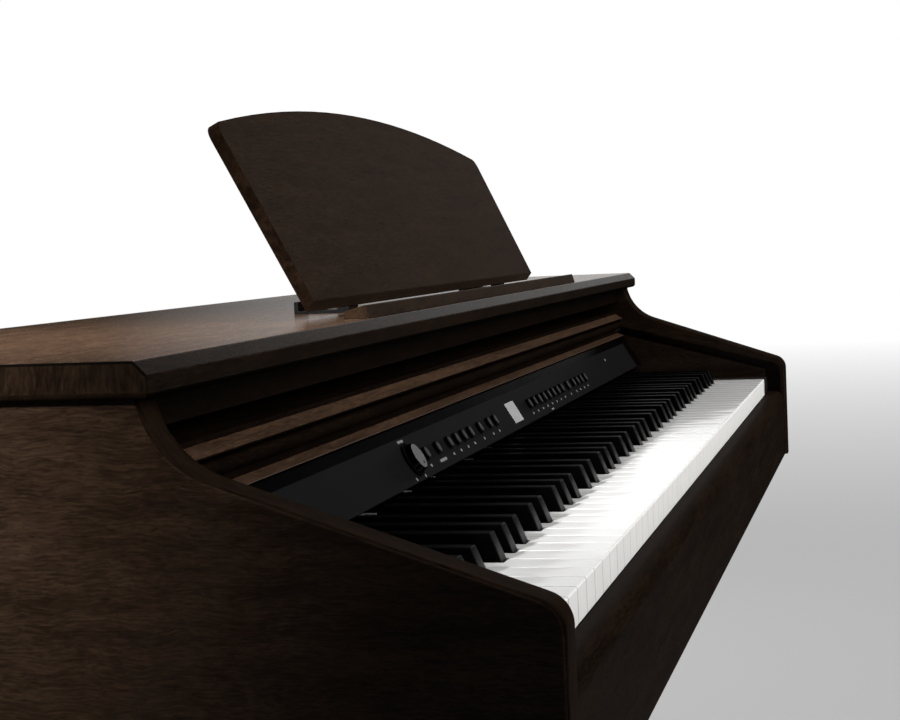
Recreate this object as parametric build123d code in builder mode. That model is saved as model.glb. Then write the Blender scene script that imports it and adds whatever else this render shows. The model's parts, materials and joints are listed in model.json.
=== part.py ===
from build123d import *
import os
from math import cos, radians, sin, sqrt, tan

# A full-size digital piano: a wooden case with 88 keys, a sliding key cover and a folding
# music rest, standing on a panel stand with three pedals. Millimetres throughout.
# +X is to the player's right, the player sits at -Y, +Z is up.
# The origin is on the floor under the middle of the piano.

# Keys
white_key_count = 52
white_key_pitch = 23.5
white_key_gap = 1.0
white_key_height = 18.0
white_key_front_radius = 1.5
key_top_z = 740.0
key_length = 223.0
key_side_gap = 1.0
black_key_setback = 50.0
black_key_rise = 14.5
black_key_base_width = 12.4
black_key_top_width = 9.8
black_key_front_lean = 5.6
black_key_flat_length = 92.0
black_key_step_length = 6.0
black_key_tail_rise = 3.0
black_pair_shift = 2.3
black_triple_shift = 3.4
key_pivot_inset = 8.0
key_pivot_drop = 11.0
pivot_bead_radius = 4.0
pivot_bead_gap = 0.5
pivot_wall = 5.0

# Case boards
key_block_width = 43.0
key_block_gap = 1.0
key_block_drop = 1.0
key_block_radius = 2.0
cheek_thickness = 21.0
case_depth = 435.0
cheek_front_overhang = 20.0
cheek_drop = 88.0
cheek_nose_rise = 18.0
cheek_nose_radius = 14.0
cheek_slope_angle = 19.1
cheek_edge_radius = 2.5
neck_radius = 46.0
neck_centre_over_lid = 8.0
lid_rise = 104.0
lid_thickness = 16.0
lid_front_back = 148.0
lid_side_overhang = 6.0
lid_rear_overhang = 3.0
lid_front_bevel = 6.2
lid_bevel_radius = 2.0
lid_lower_radius = 3.0
upper_panel_back = 164.0
upper_panel_thickness = 14.0
upper_panel_height = 16.0
back_panel_thickness = 4.0
back_panel_inset = 6.0
keybed_thickness = 16.0
slip_thickness = 16.5
slip_key_gap = 1.0
slip_drop = 17.0
slip_top_radius = 10.0

# Frame that carries the keys
frame_base = 5.0
frame_front_margin = 12.0
frame_rear_margin = 12.0
frame_stop_back = 30.0
frame_stop_thickness = 6.0
key_front_travel = 10.0
key_stop_margin = 1.2

# Sliding key cover
cover_angle = 15.0
cover_thickness = 8.0
cover_length = 140.0
cover_end_gap = 1.0
cover_travel = 165.0
cover_pin_back = 168.0
cover_pin_rise = 57.1
cover_pin_spacing = 142.0
cover_pin_radius = 4.0
cover_pin_length = 6.5
cover_shank_radius = 2.5
cover_shank_length = 12.0
cover_shank_gap = 0.1
groove_clearance = 0.6
groove_depth = 8.0
groove_rear_room = 2.0
drop_slot_width = 16.0
groove_front_room = 15.0
drop_slot_depth = 24.0
rail_lip_back = 159.5
rail_depth = 16.5
rail_bottom_rise = 49.6
rail_lip = 0.9
rail_lower_hollow = 7.0
rail_lower_slope = 2.5
rail_lower_wall = 3.8
rail_round_step = 2.8
rail_round = 8.0
rail_undercut = 5.0
rail_recess = 7.0
rail_recess_rise = 2.7
rail_upper_lip = 0.7
rail_upper_setback = 8.5
rail_upper_slope = 4.7
rail_top_wall = 2.7

# Control panel
panel_angle = 58.9
panel_foot_back = 140.0
panel_foot_rise = 16.5
panel_face_height = 37.4
panel_wall = 2.5
panel_lip_depth = 10.0
panel_shelf_depth = 40.0
faceplate_thickness = 1.0
faceplate_height = 30.0
faceplate_edge = 0.4
faceplate_end_inset = 40.0
button_row_rise = 14.6
button_width = 8.0
button_height = 9.0
button_stand = 3.0
button_gap = 0.35
button_flange = 0.9
button_flange_thickness = 1.2
button_flange_gap = 0.4
button_stem = 5.0
button_stem_length = 1.4
button_edge = 0.8
button_travel = 1.2
button_stop_gap = 0.4
button_pitch = 20.0
power_x = -266.0
demo_x = -237.0
song_x = -207.0
metronome_x = -118.0
tempo_x = -89.0
tone_x = 57.0
split_x = 226.0
setting_x = 254.0
display_centre = 2.0
display_width = 30.0
display_height = 17.6
display_rise = 14.1
display_gap = 0.3
board_thickness = 1.6
board_height = 18.0
board_depth = 9.0
board_left = -320.0
board_right = 345.0
switch_width = 6.0
boss_radius = 3.0
board_boss_inset = 6.0
knob_x = -297.0
knob_flange_radius = 11.5
knob_flange_thickness = 1.2
knob_radius = 10.0
knob_taper = 12.0
knob_height = 5.5
knob_gap = 0.5
knob_cap_radius = 8.4
knob_cap_thickness = 0.8
knob_bore_depth = 4.0
pot_shaft_radius = 3.0
pot_shaft_gap = 0.06
pot_shaft_end_gap = 0.5
pot_body_radius = 8.0
pot_body_depth = 7.0
pot_bush_radius = 4.5
pot_bush_gap = 0.4

# Music rest and its ledge
rest_lean = 26.0
rest_front_back = 195.0
rest_front_over_lid = 11.1
rest_bottom_half = 325.0
rest_top_half = 336.0
rest_side_height = 123.0
rest_crown = 26.0
rest_thickness = 8.5
rest_foot_bevel = 4.5
rest_corner_radius = 9.0
rest_edge_radius = 1.2
rest_axis_over_lid = 4.6
rest_axis_behind = 4.4
hinge_inset = 100.0
hinge_width = 14.0
hinge_ear = 3.0
hinge_ear_gap = 0.4
hinge_pin_radius = 2.0
hinge_pin_gap = 0.06
hinge_knuckle_radius = 4.0
hinge_base_depth = 38.0
hinge_base_thickness = 2.0
hinge_lug_height = 8.0
hinge_lug_thickness = 3.0
hinge_leaf_height = 26.0
hinge_leaf_thickness = 2.0
stay_length = 88.0
stay_width = 44.0
stay_thickness = 3.0
stay_foot_radius = 4.2
ledge_length = 682.0
ledge_front_back = 156.0
ledge_width = 16.0
ledge_front_lean = 2.5
ledge_height = 8.2
ledge_rear_height = 4.3
ledge_edge_radius = 1.0

# Sound and electrics inside the case
speaker_x = 420.0
speaker_flange_radius = 62.0
speaker_flange = 4.0
speaker_cone_radius = 54.0
speaker_cone_height = 34.0
speaker_neck_radius = 30.0
speaker_magnet_radius = 38.0
speaker_magnet_height = 14.0
sound_slot_width = 8.0
sound_slot_pitch = 15.0
sound_slot_count = 6
sound_slot_length = 84.0
main_board_width = 220.0
main_board_depth = 110.0
main_board_post = 8.0
main_board_post_radius = 4.0
main_board_post_inset = 8.0
jack_plate_x = -380.0
jack_plate_drop = 30.0
jack_plate_width = 96.0
jack_plate_height = 44.0
jack_plate_thickness = 2.0
jack_plate_radius = 4.0
inlet_width = 24.0
inlet_height = 16.0
inlet_depth = 14.0
inlet_wall = 2.0
inlet_clearance = 1.0

# Stand
leg_thickness = 21.0
leg_front_back = 150.0
leg_rear_inset = 12.0
leg_edge_radius = 2.5
foot_height = 42.0
foot_width = 46.0
foot_outer_step = 4.0
foot_front_back = 4.0
foot_rear_inset = 4.0
foot_toe_radius = 22.0
foot_edge_radius = 3.0
stand_board_thickness = 15.0
stand_board_height = 320.0
stand_board_inset = 6.0
pedal_box_depth = 92.0
pedal_box_bottom = 48.0
pedal_box_height = 66.0
pedal_box_wall = 12.0
pedal_spacing = 75.0
pedal_axis_inset = 50.0
pedal_axis_rise = 30.0
pedal_reach = 92.0
pedal_thickness = 7.0
pedal_neck_width = 15.0
pedal_toe_width = 26.0
pedal_toe_length = 62.0
pedal_edge_radius = 1.5
pedal_boss_radius = 9.0
pedal_boss_width = 18.0
pedal_shaft_radius = 5.0
pedal_shaft_gap = 0.06
pedal_shaft_seat_gap = 0.1
pedal_slot_side = 2.0
pedal_slot_top = 1.5
pedal_angle = 6.5
bearing_rib = 12.0
bearing_rib_reach = 118.0
adjuster_inset = 77.0
adjuster_radius = 18.0
adjuster_disc = 9.0
adjuster_stem_radius = 5.0
adjuster_stem_gap = 0.4
adjuster_stem_top = 14.0
adjuster_disc_edge = 2.0
bolt_head_radius = 7.0
bolt_head = 4.0
bolt_head_gap = 0.4
bolt_radius = 3.0
bolt_gap = 0.3
bolt_length = 52.0
board_bolt_inset = 60.0
box_bolt_inset = 16.0
bracket_thickness = 3.0
bracket_reach = 60.0
bracket_width = 120.0
bracket_bend_radius = 4.0

# Places that follow from the sizes above
keyboard_width = white_key_count * white_key_pitch
cheek_inner_x = keyboard_width / 2 + key_block_width
cheek_outer_x = cheek_inner_x + cheek_thickness
total_depth = case_depth + lid_rear_overhang
cheek_front_y = -total_depth / 2
key_front_y = cheek_front_y + cheek_front_overhang
case_rear_y = cheek_front_y + case_depth
cheek_bottom_z = key_top_z - cheek_drop
lid_bottom_z = key_top_z + lid_rise
lid_top_z = lid_bottom_z + lid_thickness
keybed_top_z = cheek_bottom_z + keybed_thickness
key_bottom_z = key_top_z - white_key_height
key_tail_y = key_front_y + key_length
frame_rear_y = key_tail_y + frame_rear_margin
pivot_y = key_tail_y - key_pivot_inset
pivot_z = key_top_z - key_pivot_drop
cover_cos = cos(radians(cover_angle))
cover_sin = sin(radians(cover_angle))
cover_tan = tan(radians(cover_angle))
leg_inner_x = cheek_outer_x - leg_thickness
leg_front_y = key_front_y + leg_front_back
leg_rear_y = case_rear_y - leg_rear_inset

os.makedirs("parts", exist_ok=True)


def span_box(x_range, y_range, z_range):
    """A squared solid between three pairs of limits."""
    x_size = x_range[1] - x_range[0]
    y_size = y_range[1] - y_range[0]
    middle = ((x_range[0] + x_range[1]) / 2, (y_range[0] + y_range[1]) / 2, z_range[0])
    with Locations(middle):
        Box(x_size, y_size, z_range[1] - z_range[0], align=(Align.CENTER, Align.CENTER, Align.MIN))


# Cheeks: the two end boards. The front edge rises to a rounded nose, a straight slope and a
# hollow neck under the lid, and the inner face has the routed track of the key cover.
slope_tan = tan(radians(cheek_slope_angle))
slope_cos = cos(radians(cheek_slope_angle))
slope_sin = sin(radians(cheek_slope_angle))
nose_z = key_top_z + cheek_nose_rise
neck_centre_z = lid_bottom_z + neck_centre_over_lid
neck_centre_y = cheek_front_y + (neck_centre_z - nose_z - neck_radius / slope_cos) / slope_tan
neck_end_y = neck_centre_y + sqrt(neck_radius**2 - neck_centre_over_lid**2)
neck_start = (neck_centre_y + neck_radius * slope_sin, neck_centre_z - neck_radius * slope_cos)
neck_turn = radians(cheek_slope_angle + 90) / 2
neck_middle = (neck_centre_y + neck_radius * sin(neck_turn), neck_centre_z - neck_radius * cos(neck_turn))
cover_pin_y = key_front_y + cover_pin_back
cover_pin_z = key_top_z + cover_pin_rise
rear_pin_y = cover_pin_y + cover_pin_spacing * cover_cos
rear_pin_z = cover_pin_z + cover_pin_spacing * cover_sin
drop_slot_y = cover_pin_y - cover_travel * cover_cos - groove_front_room
groove_width = 2 * (cover_pin_radius + groove_clearance)
groove_length = (rear_pin_y + groove_rear_room - drop_slot_y) / cover_cos
groove_middle_y = (rear_pin_y + groove_rear_room + drop_slot_y) / 2
groove_middle_z = cover_pin_z + (groove_middle_y - cover_pin_y) * cover_tan
drop_top_z = cover_pin_z + (drop_slot_y - cover_pin_y) * cover_tan - groove_width / 2
with BuildPart() as left_cheek:
    with BuildSketch(Plane.YZ.offset(-cheek_outer_x)):
        with BuildLine():
            FilletPolyline(
                (cheek_front_y, cheek_bottom_z),
                (cheek_front_y, nose_z),
                neck_start,
                radius=cheek_nose_radius,
            )
            ThreePointArc(neck_start, neck_middle, (neck_end_y, lid_bottom_z))
            Polyline(
                (neck_end_y, lid_bottom_z),
                (case_rear_y, lid_bottom_z),
                (case_rear_y, cheek_bottom_z),
                (cheek_front_y, cheek_bottom_z),
            )
        make_face()
    extrude(amount=cheek_thickness)
    front_edges = left_cheek.edges().filter_by(Axis.X, reverse=True)
    fillet(front_edges.filter_by_position(Axis.Y, cheek_front_y, neck_end_y), cheek_edge_radius)
    with BuildSketch(Plane.YZ.offset(-cheek_inner_x)):
        with Locations((groove_middle_y, groove_middle_z)):
            SlotCenterToCenter(groove_length, groove_width, rotation=cover_angle)
        with Locations((drop_slot_y, drop_top_z - drop_slot_depth / 2)):
            SlotCenterToCenter(drop_slot_depth, drop_slot_width, rotation=90)
    extrude(amount=-groove_depth, mode=Mode.SUBTRACT)
left_cheek.part.label = "left_cheek"
export_step(left_cheek.part, "parts/left_cheek.step")

with BuildPart() as right_cheek:
    mirror(left_cheek.part, about=Plane.YZ)
right_cheek.part.label = "right_cheek"
export_step(right_cheek.part, "parts/right_cheek.step")

# Lid: one flat board over both cheeks, its front edge bevelled on top and eased below.
lid_half_width = cheek_outer_x + lid_side_overhang
lid_front_y = key_front_y + lid_front_back
lid_rear_y = case_rear_y + lid_rear_overhang
with BuildPart() as top_lid:
    span_box((-lid_half_width, lid_half_width), (lid_front_y, lid_rear_y), (lid_bottom_z, lid_top_z))
    lid_long_edges = top_lid.edges().filter_by(Axis.X).group_by(Axis.Z)[-1]
    chamfer(lid_long_edges.sort_by(Axis.Y)[0], lid_front_bevel)
    lid_bevel_edges = top_lid.edges().filter_by(Axis.X).filter_by_position(
        Axis.Z, lid_top_z - lid_front_bevel, lid_top_z
    )
    fillet(lid_bevel_edges.sort_by(Axis.Y)[:2], lid_bevel_radius)
    lid_lower_edges = top_lid.edges().group_by(Axis.Z)[0]
    fillet(lid_lower_edges.sort_by(Axis.Y)[:-1], lid_lower_radius)
top_lid.part.label = "top_lid"
export_step(top_lid.part, "parts/top_lid.step")

# Upper front panel: the wooden strip between the lid and the slot of the key cover.
upper_panel_y = key_front_y + upper_panel_back
with BuildPart() as upper_front_panel:
    span_box(
        (-cheek_inner_x, cheek_inner_x),
        (upper_panel_y, upper_panel_y + upper_panel_thickness),
        (lid_bottom_z - upper_panel_height, lid_bottom_z),
    )
upper_front_panel.part.label = "upper_front_panel"
export_step(upper_front_panel.part, "parts/upper_front_panel.step")

# Keybed: the floor of the case. Rows of sound slots lie under each speaker.
slip_rear_y = key_front_y - slip_key_gap
back_panel_rear_y = case_rear_y - back_panel_inset
back_panel_front_y = back_panel_rear_y - back_panel_thickness
rear_bay_y = (frame_rear_y + back_panel_front_y) / 2
with BuildPart() as keybed:
    span_box(
        (-cheek_inner_x, cheek_inner_x),
        (slip_rear_y, back_panel_front_y),
        (cheek_bottom_z, keybed_top_z),
    )
    with BuildSketch(Plane.XY.offset(cheek_bottom_z)):
        with Locations((-speaker_x, rear_bay_y), (speaker_x, rear_bay_y)):
            with GridLocations(0, sound_slot_pitch, 1, sound_slot_count):
                SlotOverall(sound_slot_length, sound_slot_width)
    extrude(amount=keybed_thickness, mode=Mode.SUBTRACT)
keybed.part.label = "keybed"
export_step(keybed.part, "parts/keybed.step")

# Key slip: the rail in front of the keys, with a large rounded top edge.
with BuildPart() as key_slip:
    with BuildSketch(Plane.YZ.offset(-cheek_inner_x)):
        with BuildLine():
            FilletPolyline(
                (slip_rear_y, cheek_bottom_z),
                (slip_rear_y - slip_thickness, cheek_bottom_z),
                (slip_rear_y - slip_thickness, key_top_z - slip_drop),
                (slip_rear_y, key_top_z - slip_drop),
                radius=[0, slip_top_radius],
            )
            Line((slip_rear_y, key_top_z - slip_drop), (slip_rear_y, cheek_bottom_z))
        make_face()
    extrude(amount=2 * cheek_inner_x)
key_slip.part.label = "key_slip"
export_step(key_slip.part, "parts/key_slip.step")

# Key blocks: the plain blocks between the end keys and the cheeks.
key_block_inner_x = keyboard_width / 2 + key_block_gap
with BuildPart() as key_blocks:
    for side in (-1, 1):
        limits = sorted((side * key_block_inner_x, side * cheek_inner_x))
        span_box(limits, (key_front_y, key_tail_y), (keybed_top_z, key_top_z - key_block_drop))
    block_top_edges = key_blocks.edges().filter_by(Axis.X).group_by(Axis.Z)[-1]
    fillet(block_top_edges.group_by(Axis.Y)[0], key_block_radius)
key_blocks.part.label = "key_blocks"
export_step(key_blocks.part, "parts/key_blocks.step")

# Back panel: a thin board with the hole of the mains inlet.
jack_plate_z = key_top_z - jack_plate_drop
with BuildPart() as back_panel:
    span_box(
        (-cheek_inner_x, cheek_inner_x),
        (back_panel_front_y, back_panel_rear_y),
        (cheek_bottom_z, lid_bottom_z),
    )
    with BuildSketch(Plane.XZ.offset(-back_panel_rear_y)):
        with Locations((jack_plate_x, jack_plate_z)):
            Rectangle(
                inlet_width + 2 * (inlet_wall + inlet_clearance),
                inlet_height + 2 * (inlet_wall + inlet_clearance),
            )
    extrude(amount=back_panel_thickness, mode=Mode.SUBTRACT)
back_panel.part.label = "back_panel"
export_step(back_panel.part, "parts/back_panel.step")

# Rear plate with the recessed mains inlet.
with BuildPart() as rear_jack_plate:
    with BuildSketch(Plane.XZ.offset(-back_panel_rear_y)):
        with Locations((jack_plate_x, jack_plate_z)):
            RectangleRounded(jack_plate_width, jack_plate_height, jack_plate_radius)
    extrude(amount=-jack_plate_thickness)
    with BuildSketch(Plane.XZ.offset(-back_panel_rear_y)):
        with Locations((jack_plate_x, jack_plate_z)):
            Rectangle(inlet_width + 2 * inlet_wall, inlet_height + 2 * inlet_wall)
    extrude(amount=inlet_depth + inlet_wall)
    with BuildSketch(Plane.XZ.offset(-back_panel_rear_y - jack_plate_thickness)):
        with Locations((jack_plate_x, jack_plate_z)):
            Rectangle(inlet_width, inlet_height)
    extrude(amount=inlet_depth + jack_plate_thickness, mode=Mode.SUBTRACT)
rear_jack_plate.part.label = "rear_jack_plate"
export_step(rear_jack_plate.part, "parts/rear_jack_plate.step")

# Key frame: a base on the keybed with the front stop rail and the beaded rib on which
# the tails of all the keys turn.
frame_front_y = key_front_y + frame_front_margin
stop_y = key_front_y + frame_stop_back
key_reach = pivot_y - key_front_y
key_swing = key_front_travel / key_reach
stop_top_z = key_bottom_z - key_swing * (key_reach - frame_stop_back) - key_stop_margin
with BuildPart() as key_frame:
    with BuildSketch(Plane.YZ.offset(-keyboard_width / 2)):
        with Locations(((frame_front_y + frame_rear_y) / 2, keybed_top_z)):
            Rectangle(frame_rear_y - frame_front_y, frame_base, align=(Align.CENTER, Align.MIN))
        with Locations((stop_y, keybed_top_z)):
            Rectangle(frame_stop_thickness, stop_top_z - keybed_top_z, align=(Align.MIN, Align.MIN))
        with Locations((pivot_y, keybed_top_z)):
            Rectangle(pivot_wall, pivot_z - keybed_top_z, align=(Align.CENTER, Align.MIN))
        with Locations((pivot_y, pivot_z)):
            Circle(pivot_bead_radius)
    extrude(amount=keyboard_width)
key_frame.part.label = "key_frame"
export_step(key_frame.part, "parts/key_frame.step")

# Keys: the keys of one name share a node, from the lowest octave to the highest.
# A black key stands at the right edge of each white key that has one, shifted a little.
white_names = "ABCDEFG"
black_shift = {
    "C": -black_pair_shift,
    "D": black_pair_shift,
    "F": -black_triple_shift,
    "G": 0.0,
    "A": black_triple_shift,
}
black_front_y = key_front_y + black_key_setback
black_top_z = key_top_z + black_key_rise
notch_y = black_front_y - key_side_gap
notch_half = black_key_base_width / 2 + key_side_gap
bead_slot_radius = pivot_bead_radius + pivot_bead_gap


def white_name(index):
    """The letter of a white key, counted from the lowest one."""
    return white_names[index % len(white_names)]


def has_black(index):
    """Whether a black key stands between this white key and the next."""
    return 0 <= index < white_key_count - 1 and white_name(index) in black_shift


def black_centre(index):
    """The middle of the black key after a white key."""
    edge = (index + 1) * white_key_pitch - keyboard_width / 2
    return edge + black_shift[white_name(index)]


def white_outline(index):
    """The plan of one white key, cut back beside its black neighbours."""
    left = index * white_key_pitch - keyboard_width / 2 + white_key_gap / 2
    right = left + white_key_pitch - white_key_gap
    outline = [(left, key_front_y), (right, key_front_y)]
    if has_black(index):
        cut = black_centre(index) - notch_half
        outline += [(right, notch_y), (cut, notch_y), (cut, key_tail_y)]
    else:
        outline += [(right, key_tail_y)]
    if has_black(index - 1):
        cut = black_centre(index - 1) + notch_half
        outline += [(cut, key_tail_y), (cut, notch_y), (left, notch_y)]
    else:
        outline += [(left, key_tail_y)]
    return outline


# The open-ended slot under a key's tail, seated over the bead of the key frame.
with BuildSketch(Plane.YZ) as bead_slot:
    with Locations((pivot_y, pivot_z)):
        Circle(bead_slot_radius)
        Rectangle(2 * bead_slot_radius, white_key_height, align=(Align.CENTER, Align.MAX))

for name in white_names:
    with BuildPart() as white_keys:
        with BuildSketch(Plane.XY.offset(key_bottom_z)):
            for index in range(white_key_count):
                if white_name(index) == name:
                    Polygon(*white_outline(index), align=None)
        extrude(amount=white_key_height)
        key_top_edges = white_keys.edges().filter_by(Axis.X).group_by(Axis.Z)[-1]
        fillet(key_top_edges.group_by(Axis.Y)[0], white_key_front_radius)
        extrude(bead_slot.sketch, amount=keyboard_width, both=True, mode=Mode.SUBTRACT)
    node_name = name.lower() + "_keys"
    white_keys.part.label = node_name
    export_step(white_keys.part, "parts/" + node_name + ".step")

for name in black_shift:
    with BuildPart() as black_keys:
        with BuildSketch(Plane.XZ.offset(-black_front_y)):
            for index in range(white_key_count):
                if white_name(index) == name and has_black(index):
                    middle = black_centre(index)
                    Polygon(
                        (middle - black_key_base_width / 2, key_bottom_z),
                        (middle + black_key_base_width / 2, key_bottom_z),
                        (middle + black_key_base_width / 2, key_top_z),
                        (middle + black_key_top_width / 2, black_top_z),
                        (middle - black_key_top_width / 2, black_top_z),
                        (middle - black_key_base_width / 2, key_top_z),
                        align=None,
                    )
        extrude(amount=-(key_tail_y - black_front_y))
        flat_end_y = black_front_y + black_key_flat_length
        with BuildSketch(Plane.YZ):
            Polygon(
                (black_front_y, key_top_z),
                (black_front_y, black_top_z),
                (black_front_y + black_key_front_lean, black_top_z),
                align=None,
            )
            Polygon(
                (flat_end_y, black_top_z),
                (flat_end_y + black_key_step_length, key_top_z + black_key_tail_rise),
                (key_tail_y, key_top_z + black_key_tail_rise),
                (key_tail_y, black_top_z),
                align=None,
            )
        extrude(amount=keyboard_width, both=True, mode=Mode.SUBTRACT)
        extrude(bead_slot.sketch, amount=keyboard_width, both=True, mode=Mode.SUBTRACT)
    node_name = name.lower() + "_sharp_keys"
    black_keys.part.label = node_name
    export_step(black_keys.part, "parts/" + node_name + ".step")

# Key cover: a flat board that slides down its tracks over the keys, with a moulded front
# rail and four guide pins that run in the grooves of the cheeks.
cover_half_width = cheek_inner_x - cover_end_gap
rail_front_y = key_front_y + rail_lip_back
rail_rear_y = rail_front_y + rail_depth
cover_rear_y = rail_rear_y + cover_length
cover_half_rise = cover_thickness / 2 / cover_cos


def cover_middle_z(y):
    """The height of the cover's middle plane, which runs through the guide pins."""
    return cover_pin_z + (y - cover_pin_y) * cover_tan


with BuildPart() as key_cover:
    with BuildSketch(Plane.YZ.offset(-cover_half_width)):
        Polygon(
            (rail_rear_y, cover_middle_z(rail_rear_y) - cover_half_rise),
            (rail_rear_y, cover_middle_z(rail_rear_y) + cover_half_rise),
            (cover_rear_y, cover_middle_z(cover_rear_y) + cover_half_rise),
            (cover_rear_y, cover_middle_z(cover_rear_y) - cover_half_rise),
            align=None,
        )
    extrude(amount=2 * cover_half_width)
    for side in (-1, 1):
        with BuildSketch(Plane.YZ.offset(side * cover_half_width)):
            with Locations((rear_pin_y, rear_pin_z)):
                Circle(cover_shank_radius + cover_shank_gap)
        extrude(amount=-side * cover_shank_length, mode=Mode.SUBTRACT)
key_cover.part.label = "key_cover"
export_step(key_cover.part, "parts/key_cover.step")

rail_bottom_z = key_top_z + rail_bottom_rise
hollow_y = rail_front_y + rail_lower_hollow
hollow_bottom_z = rail_bottom_z + rail_lip + rail_lower_slope
hollow_top_z = hollow_bottom_z + rail_lower_wall
undercut_y = rail_front_y + rail_undercut
round_bottom_z = hollow_top_z + rail_round_step / 2
round_top_z = round_bottom_z + rail_round
recess_y = rail_front_y + rail_recess
lip_bottom_z = round_top_z + rail_recess_rise
upper_lip_top_z = lip_bottom_z + rail_upper_lip
upper_wall_y = rail_front_y + rail_upper_setback
upper_wall_z = upper_lip_top_z + rail_upper_slope
rail_top_z = upper_wall_z + rail_top_wall
with BuildPart() as cover_rail:
    with BuildSketch(Plane.YZ.offset(-cover_half_width)):
        with BuildLine():
            Polyline(
                (undercut_y, round_bottom_z),
                (hollow_y, hollow_top_z),
                (hollow_y, hollow_bottom_z),
                (rail_front_y, rail_bottom_z + rail_lip),
                (rail_front_y, rail_bottom_z),
                (rail_rear_y, rail_bottom_z + rail_depth * cover_tan),
                (rail_rear_y, rail_top_z),
                (upper_wall_y, rail_top_z),
                (upper_wall_y, upper_wall_z),
                (rail_front_y, upper_lip_top_z),
                (rail_front_y, lip_bottom_z),
                (recess_y, lip_bottom_z),
                (recess_y, round_top_z),
                (undercut_y, round_top_z),
            )
            ThreePointArc(
                (undercut_y, round_top_z),
                (undercut_y - rail_round / 2, (round_top_z + round_bottom_z) / 2),
                (undercut_y, round_bottom_z),
            )
        make_face()
    extrude(amount=2 * cover_half_width)
    for side in (-1, 1):
        with BuildSketch(Plane.YZ.offset(side * cover_half_width)):
            with Locations((cover_pin_y, cover_pin_z)):
                Circle(cover_shank_radius + cover_shank_gap)
        extrude(amount=-side * cover_shank_length, mode=Mode.SUBTRACT)
cover_rail.part.label = "cover_rail"
export_step(cover_rail.part, "parts/cover_rail.step")

with BuildPart() as cover_guide_pins:
    for side in (-1, 1):
        with BuildSketch(Plane.YZ.offset(side * cover_half_width)):
            with Locations((cover_pin_y, cover_pin_z), (rear_pin_y, rear_pin_z)):
                Circle(cover_pin_radius)
        extrude(amount=side * cover_pin_length)
        with BuildSketch(Plane.YZ.offset(side * cover_half_width)):
            with Locations((cover_pin_y, cover_pin_z), (rear_pin_y, rear_pin_z)):
                Circle(cover_shank_radius)
        extrude(amount=-side * cover_shank_length)
cover_guide_pins.part.label = "cover_guide_pins"
export_step(cover_guide_pins.part, "parts/cover_guide_pins.step")

# Control panel: a bent plastic housing over the rear of the keys. Its sloping face carries
# the buttons, and posts behind the face hold the circuit board.
face_up = (cos(radians(panel_angle)), sin(radians(panel_angle)))
panel_foot_y = key_front_y + panel_foot_back
panel_foot_z = key_top_z + panel_foot_rise
panel_top_y = panel_foot_y + panel_face_height * face_up[0]
panel_top_z = panel_foot_z + panel_face_height * face_up[1]
panel_face = Plane(
    origin=(0, panel_foot_y, panel_foot_z),
    x_dir=(1, 0, 0),
    z_dir=(0, -face_up[1], face_up[0]),
)
panel_axis = Axis(panel_face.origin, panel_face.z_dir)
button_groups = {
    "power_button": [power_x],
    "demo_button": [demo_x],
    "song_buttons": [song_x + button_pitch * step for step in range(4)],
    "metronome_button": [metronome_x],
    "tempo_buttons": [tempo_x + button_pitch * step for step in range(2)],
    "tone_buttons": [tone_x + button_pitch * step for step in range(8)],
    "split_button": [split_x],
    "setting_buttons": [setting_x + button_pitch * step for step in range(4)],
}
button_places = [(x, button_row_rise) for group in button_groups.values() for x in group]
song_row = button_groups["song_buttons"]
tone_row = button_groups["tone_buttons"]
boss_row = [
    board_left + board_boss_inset,
    (demo_x + song_x) / 2,
    (song_row[-1] + metronome_x) / 2,
    (button_groups["tempo_buttons"][-1] + display_centre - display_width / 2) / 2,
    (tone_row[3] + tone_row[4]) / 2,
    (split_x + setting_x) / 2,
    board_right - board_boss_inset,
]
boss_places = [(x, button_row_rise) for x in boss_row]
with BuildPart() as control_panel:
    with BuildSketch(Plane.YZ.offset(-cheek_inner_x)):
        with BuildLine():
            Polyline(
                (panel_foot_y + panel_lip_depth, panel_foot_z),
                (panel_foot_y, panel_foot_z),
                (panel_top_y, panel_top_z),
                (panel_top_y + panel_shelf_depth, panel_top_z),
            )
            offset(amount=panel_wall, side=Side.RIGHT, kind=Kind.INTERSECTION)
        make_face()
    extrude(amount=2 * cheek_inner_x)
    with BuildSketch(panel_face.offset(-panel_wall)):
        with Locations(*boss_places):
            Circle(boss_radius)
    extrude(amount=-(board_depth - panel_wall))
    with BuildSketch(panel_face):
        with Locations(*button_places):
            Ellipse(button_width / 2 + button_gap, button_height / 2 + button_gap)
        with Locations((knob_x, button_row_rise)):
            Circle(pot_bush_radius + pot_bush_gap)
    extrude(amount=-panel_wall, mode=Mode.SUBTRACT)
control_panel.part.label = "control_panel"
export_step(control_panel.part, "parts/control_panel.step")

# Faceplate: the grey sheet on the panel's face, cut out for the buttons and the display.
faceplate_half = cheek_inner_x - faceplate_end_inset
with BuildPart() as panel_faceplate:
    with BuildSketch(panel_face):
        with Locations((0, faceplate_edge)):
            Rectangle(2 * faceplate_half, faceplate_height, align=(Align.CENTER, Align.MIN))
        with Locations(*button_places):
            Ellipse(button_width / 2 + button_gap, button_height / 2 + button_gap, mode=Mode.SUBTRACT)
        with Locations((knob_x, button_row_rise)):
            Circle(pot_bush_radius + pot_bush_gap, mode=Mode.SUBTRACT)
        with Locations((display_centre, display_rise)):
            Rectangle(
                display_width + 2 * display_gap,
                display_height + 2 * display_gap,
                mode=Mode.SUBTRACT,
            )
    extrude(amount=faceplate_thickness)
panel_faceplate.part.label = "panel_faceplate"
export_step(panel_faceplate.part, "parts/panel_faceplate.step")

with BuildPart() as display_window:
    with BuildSketch(panel_face):
        with Locations((display_centre, display_rise)):
            Rectangle(display_width, display_height)
    extrude(amount=faceplate_thickness)
display_window.part.label = "display_window"
export_step(display_window.part, "parts/display_window.step")

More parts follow.
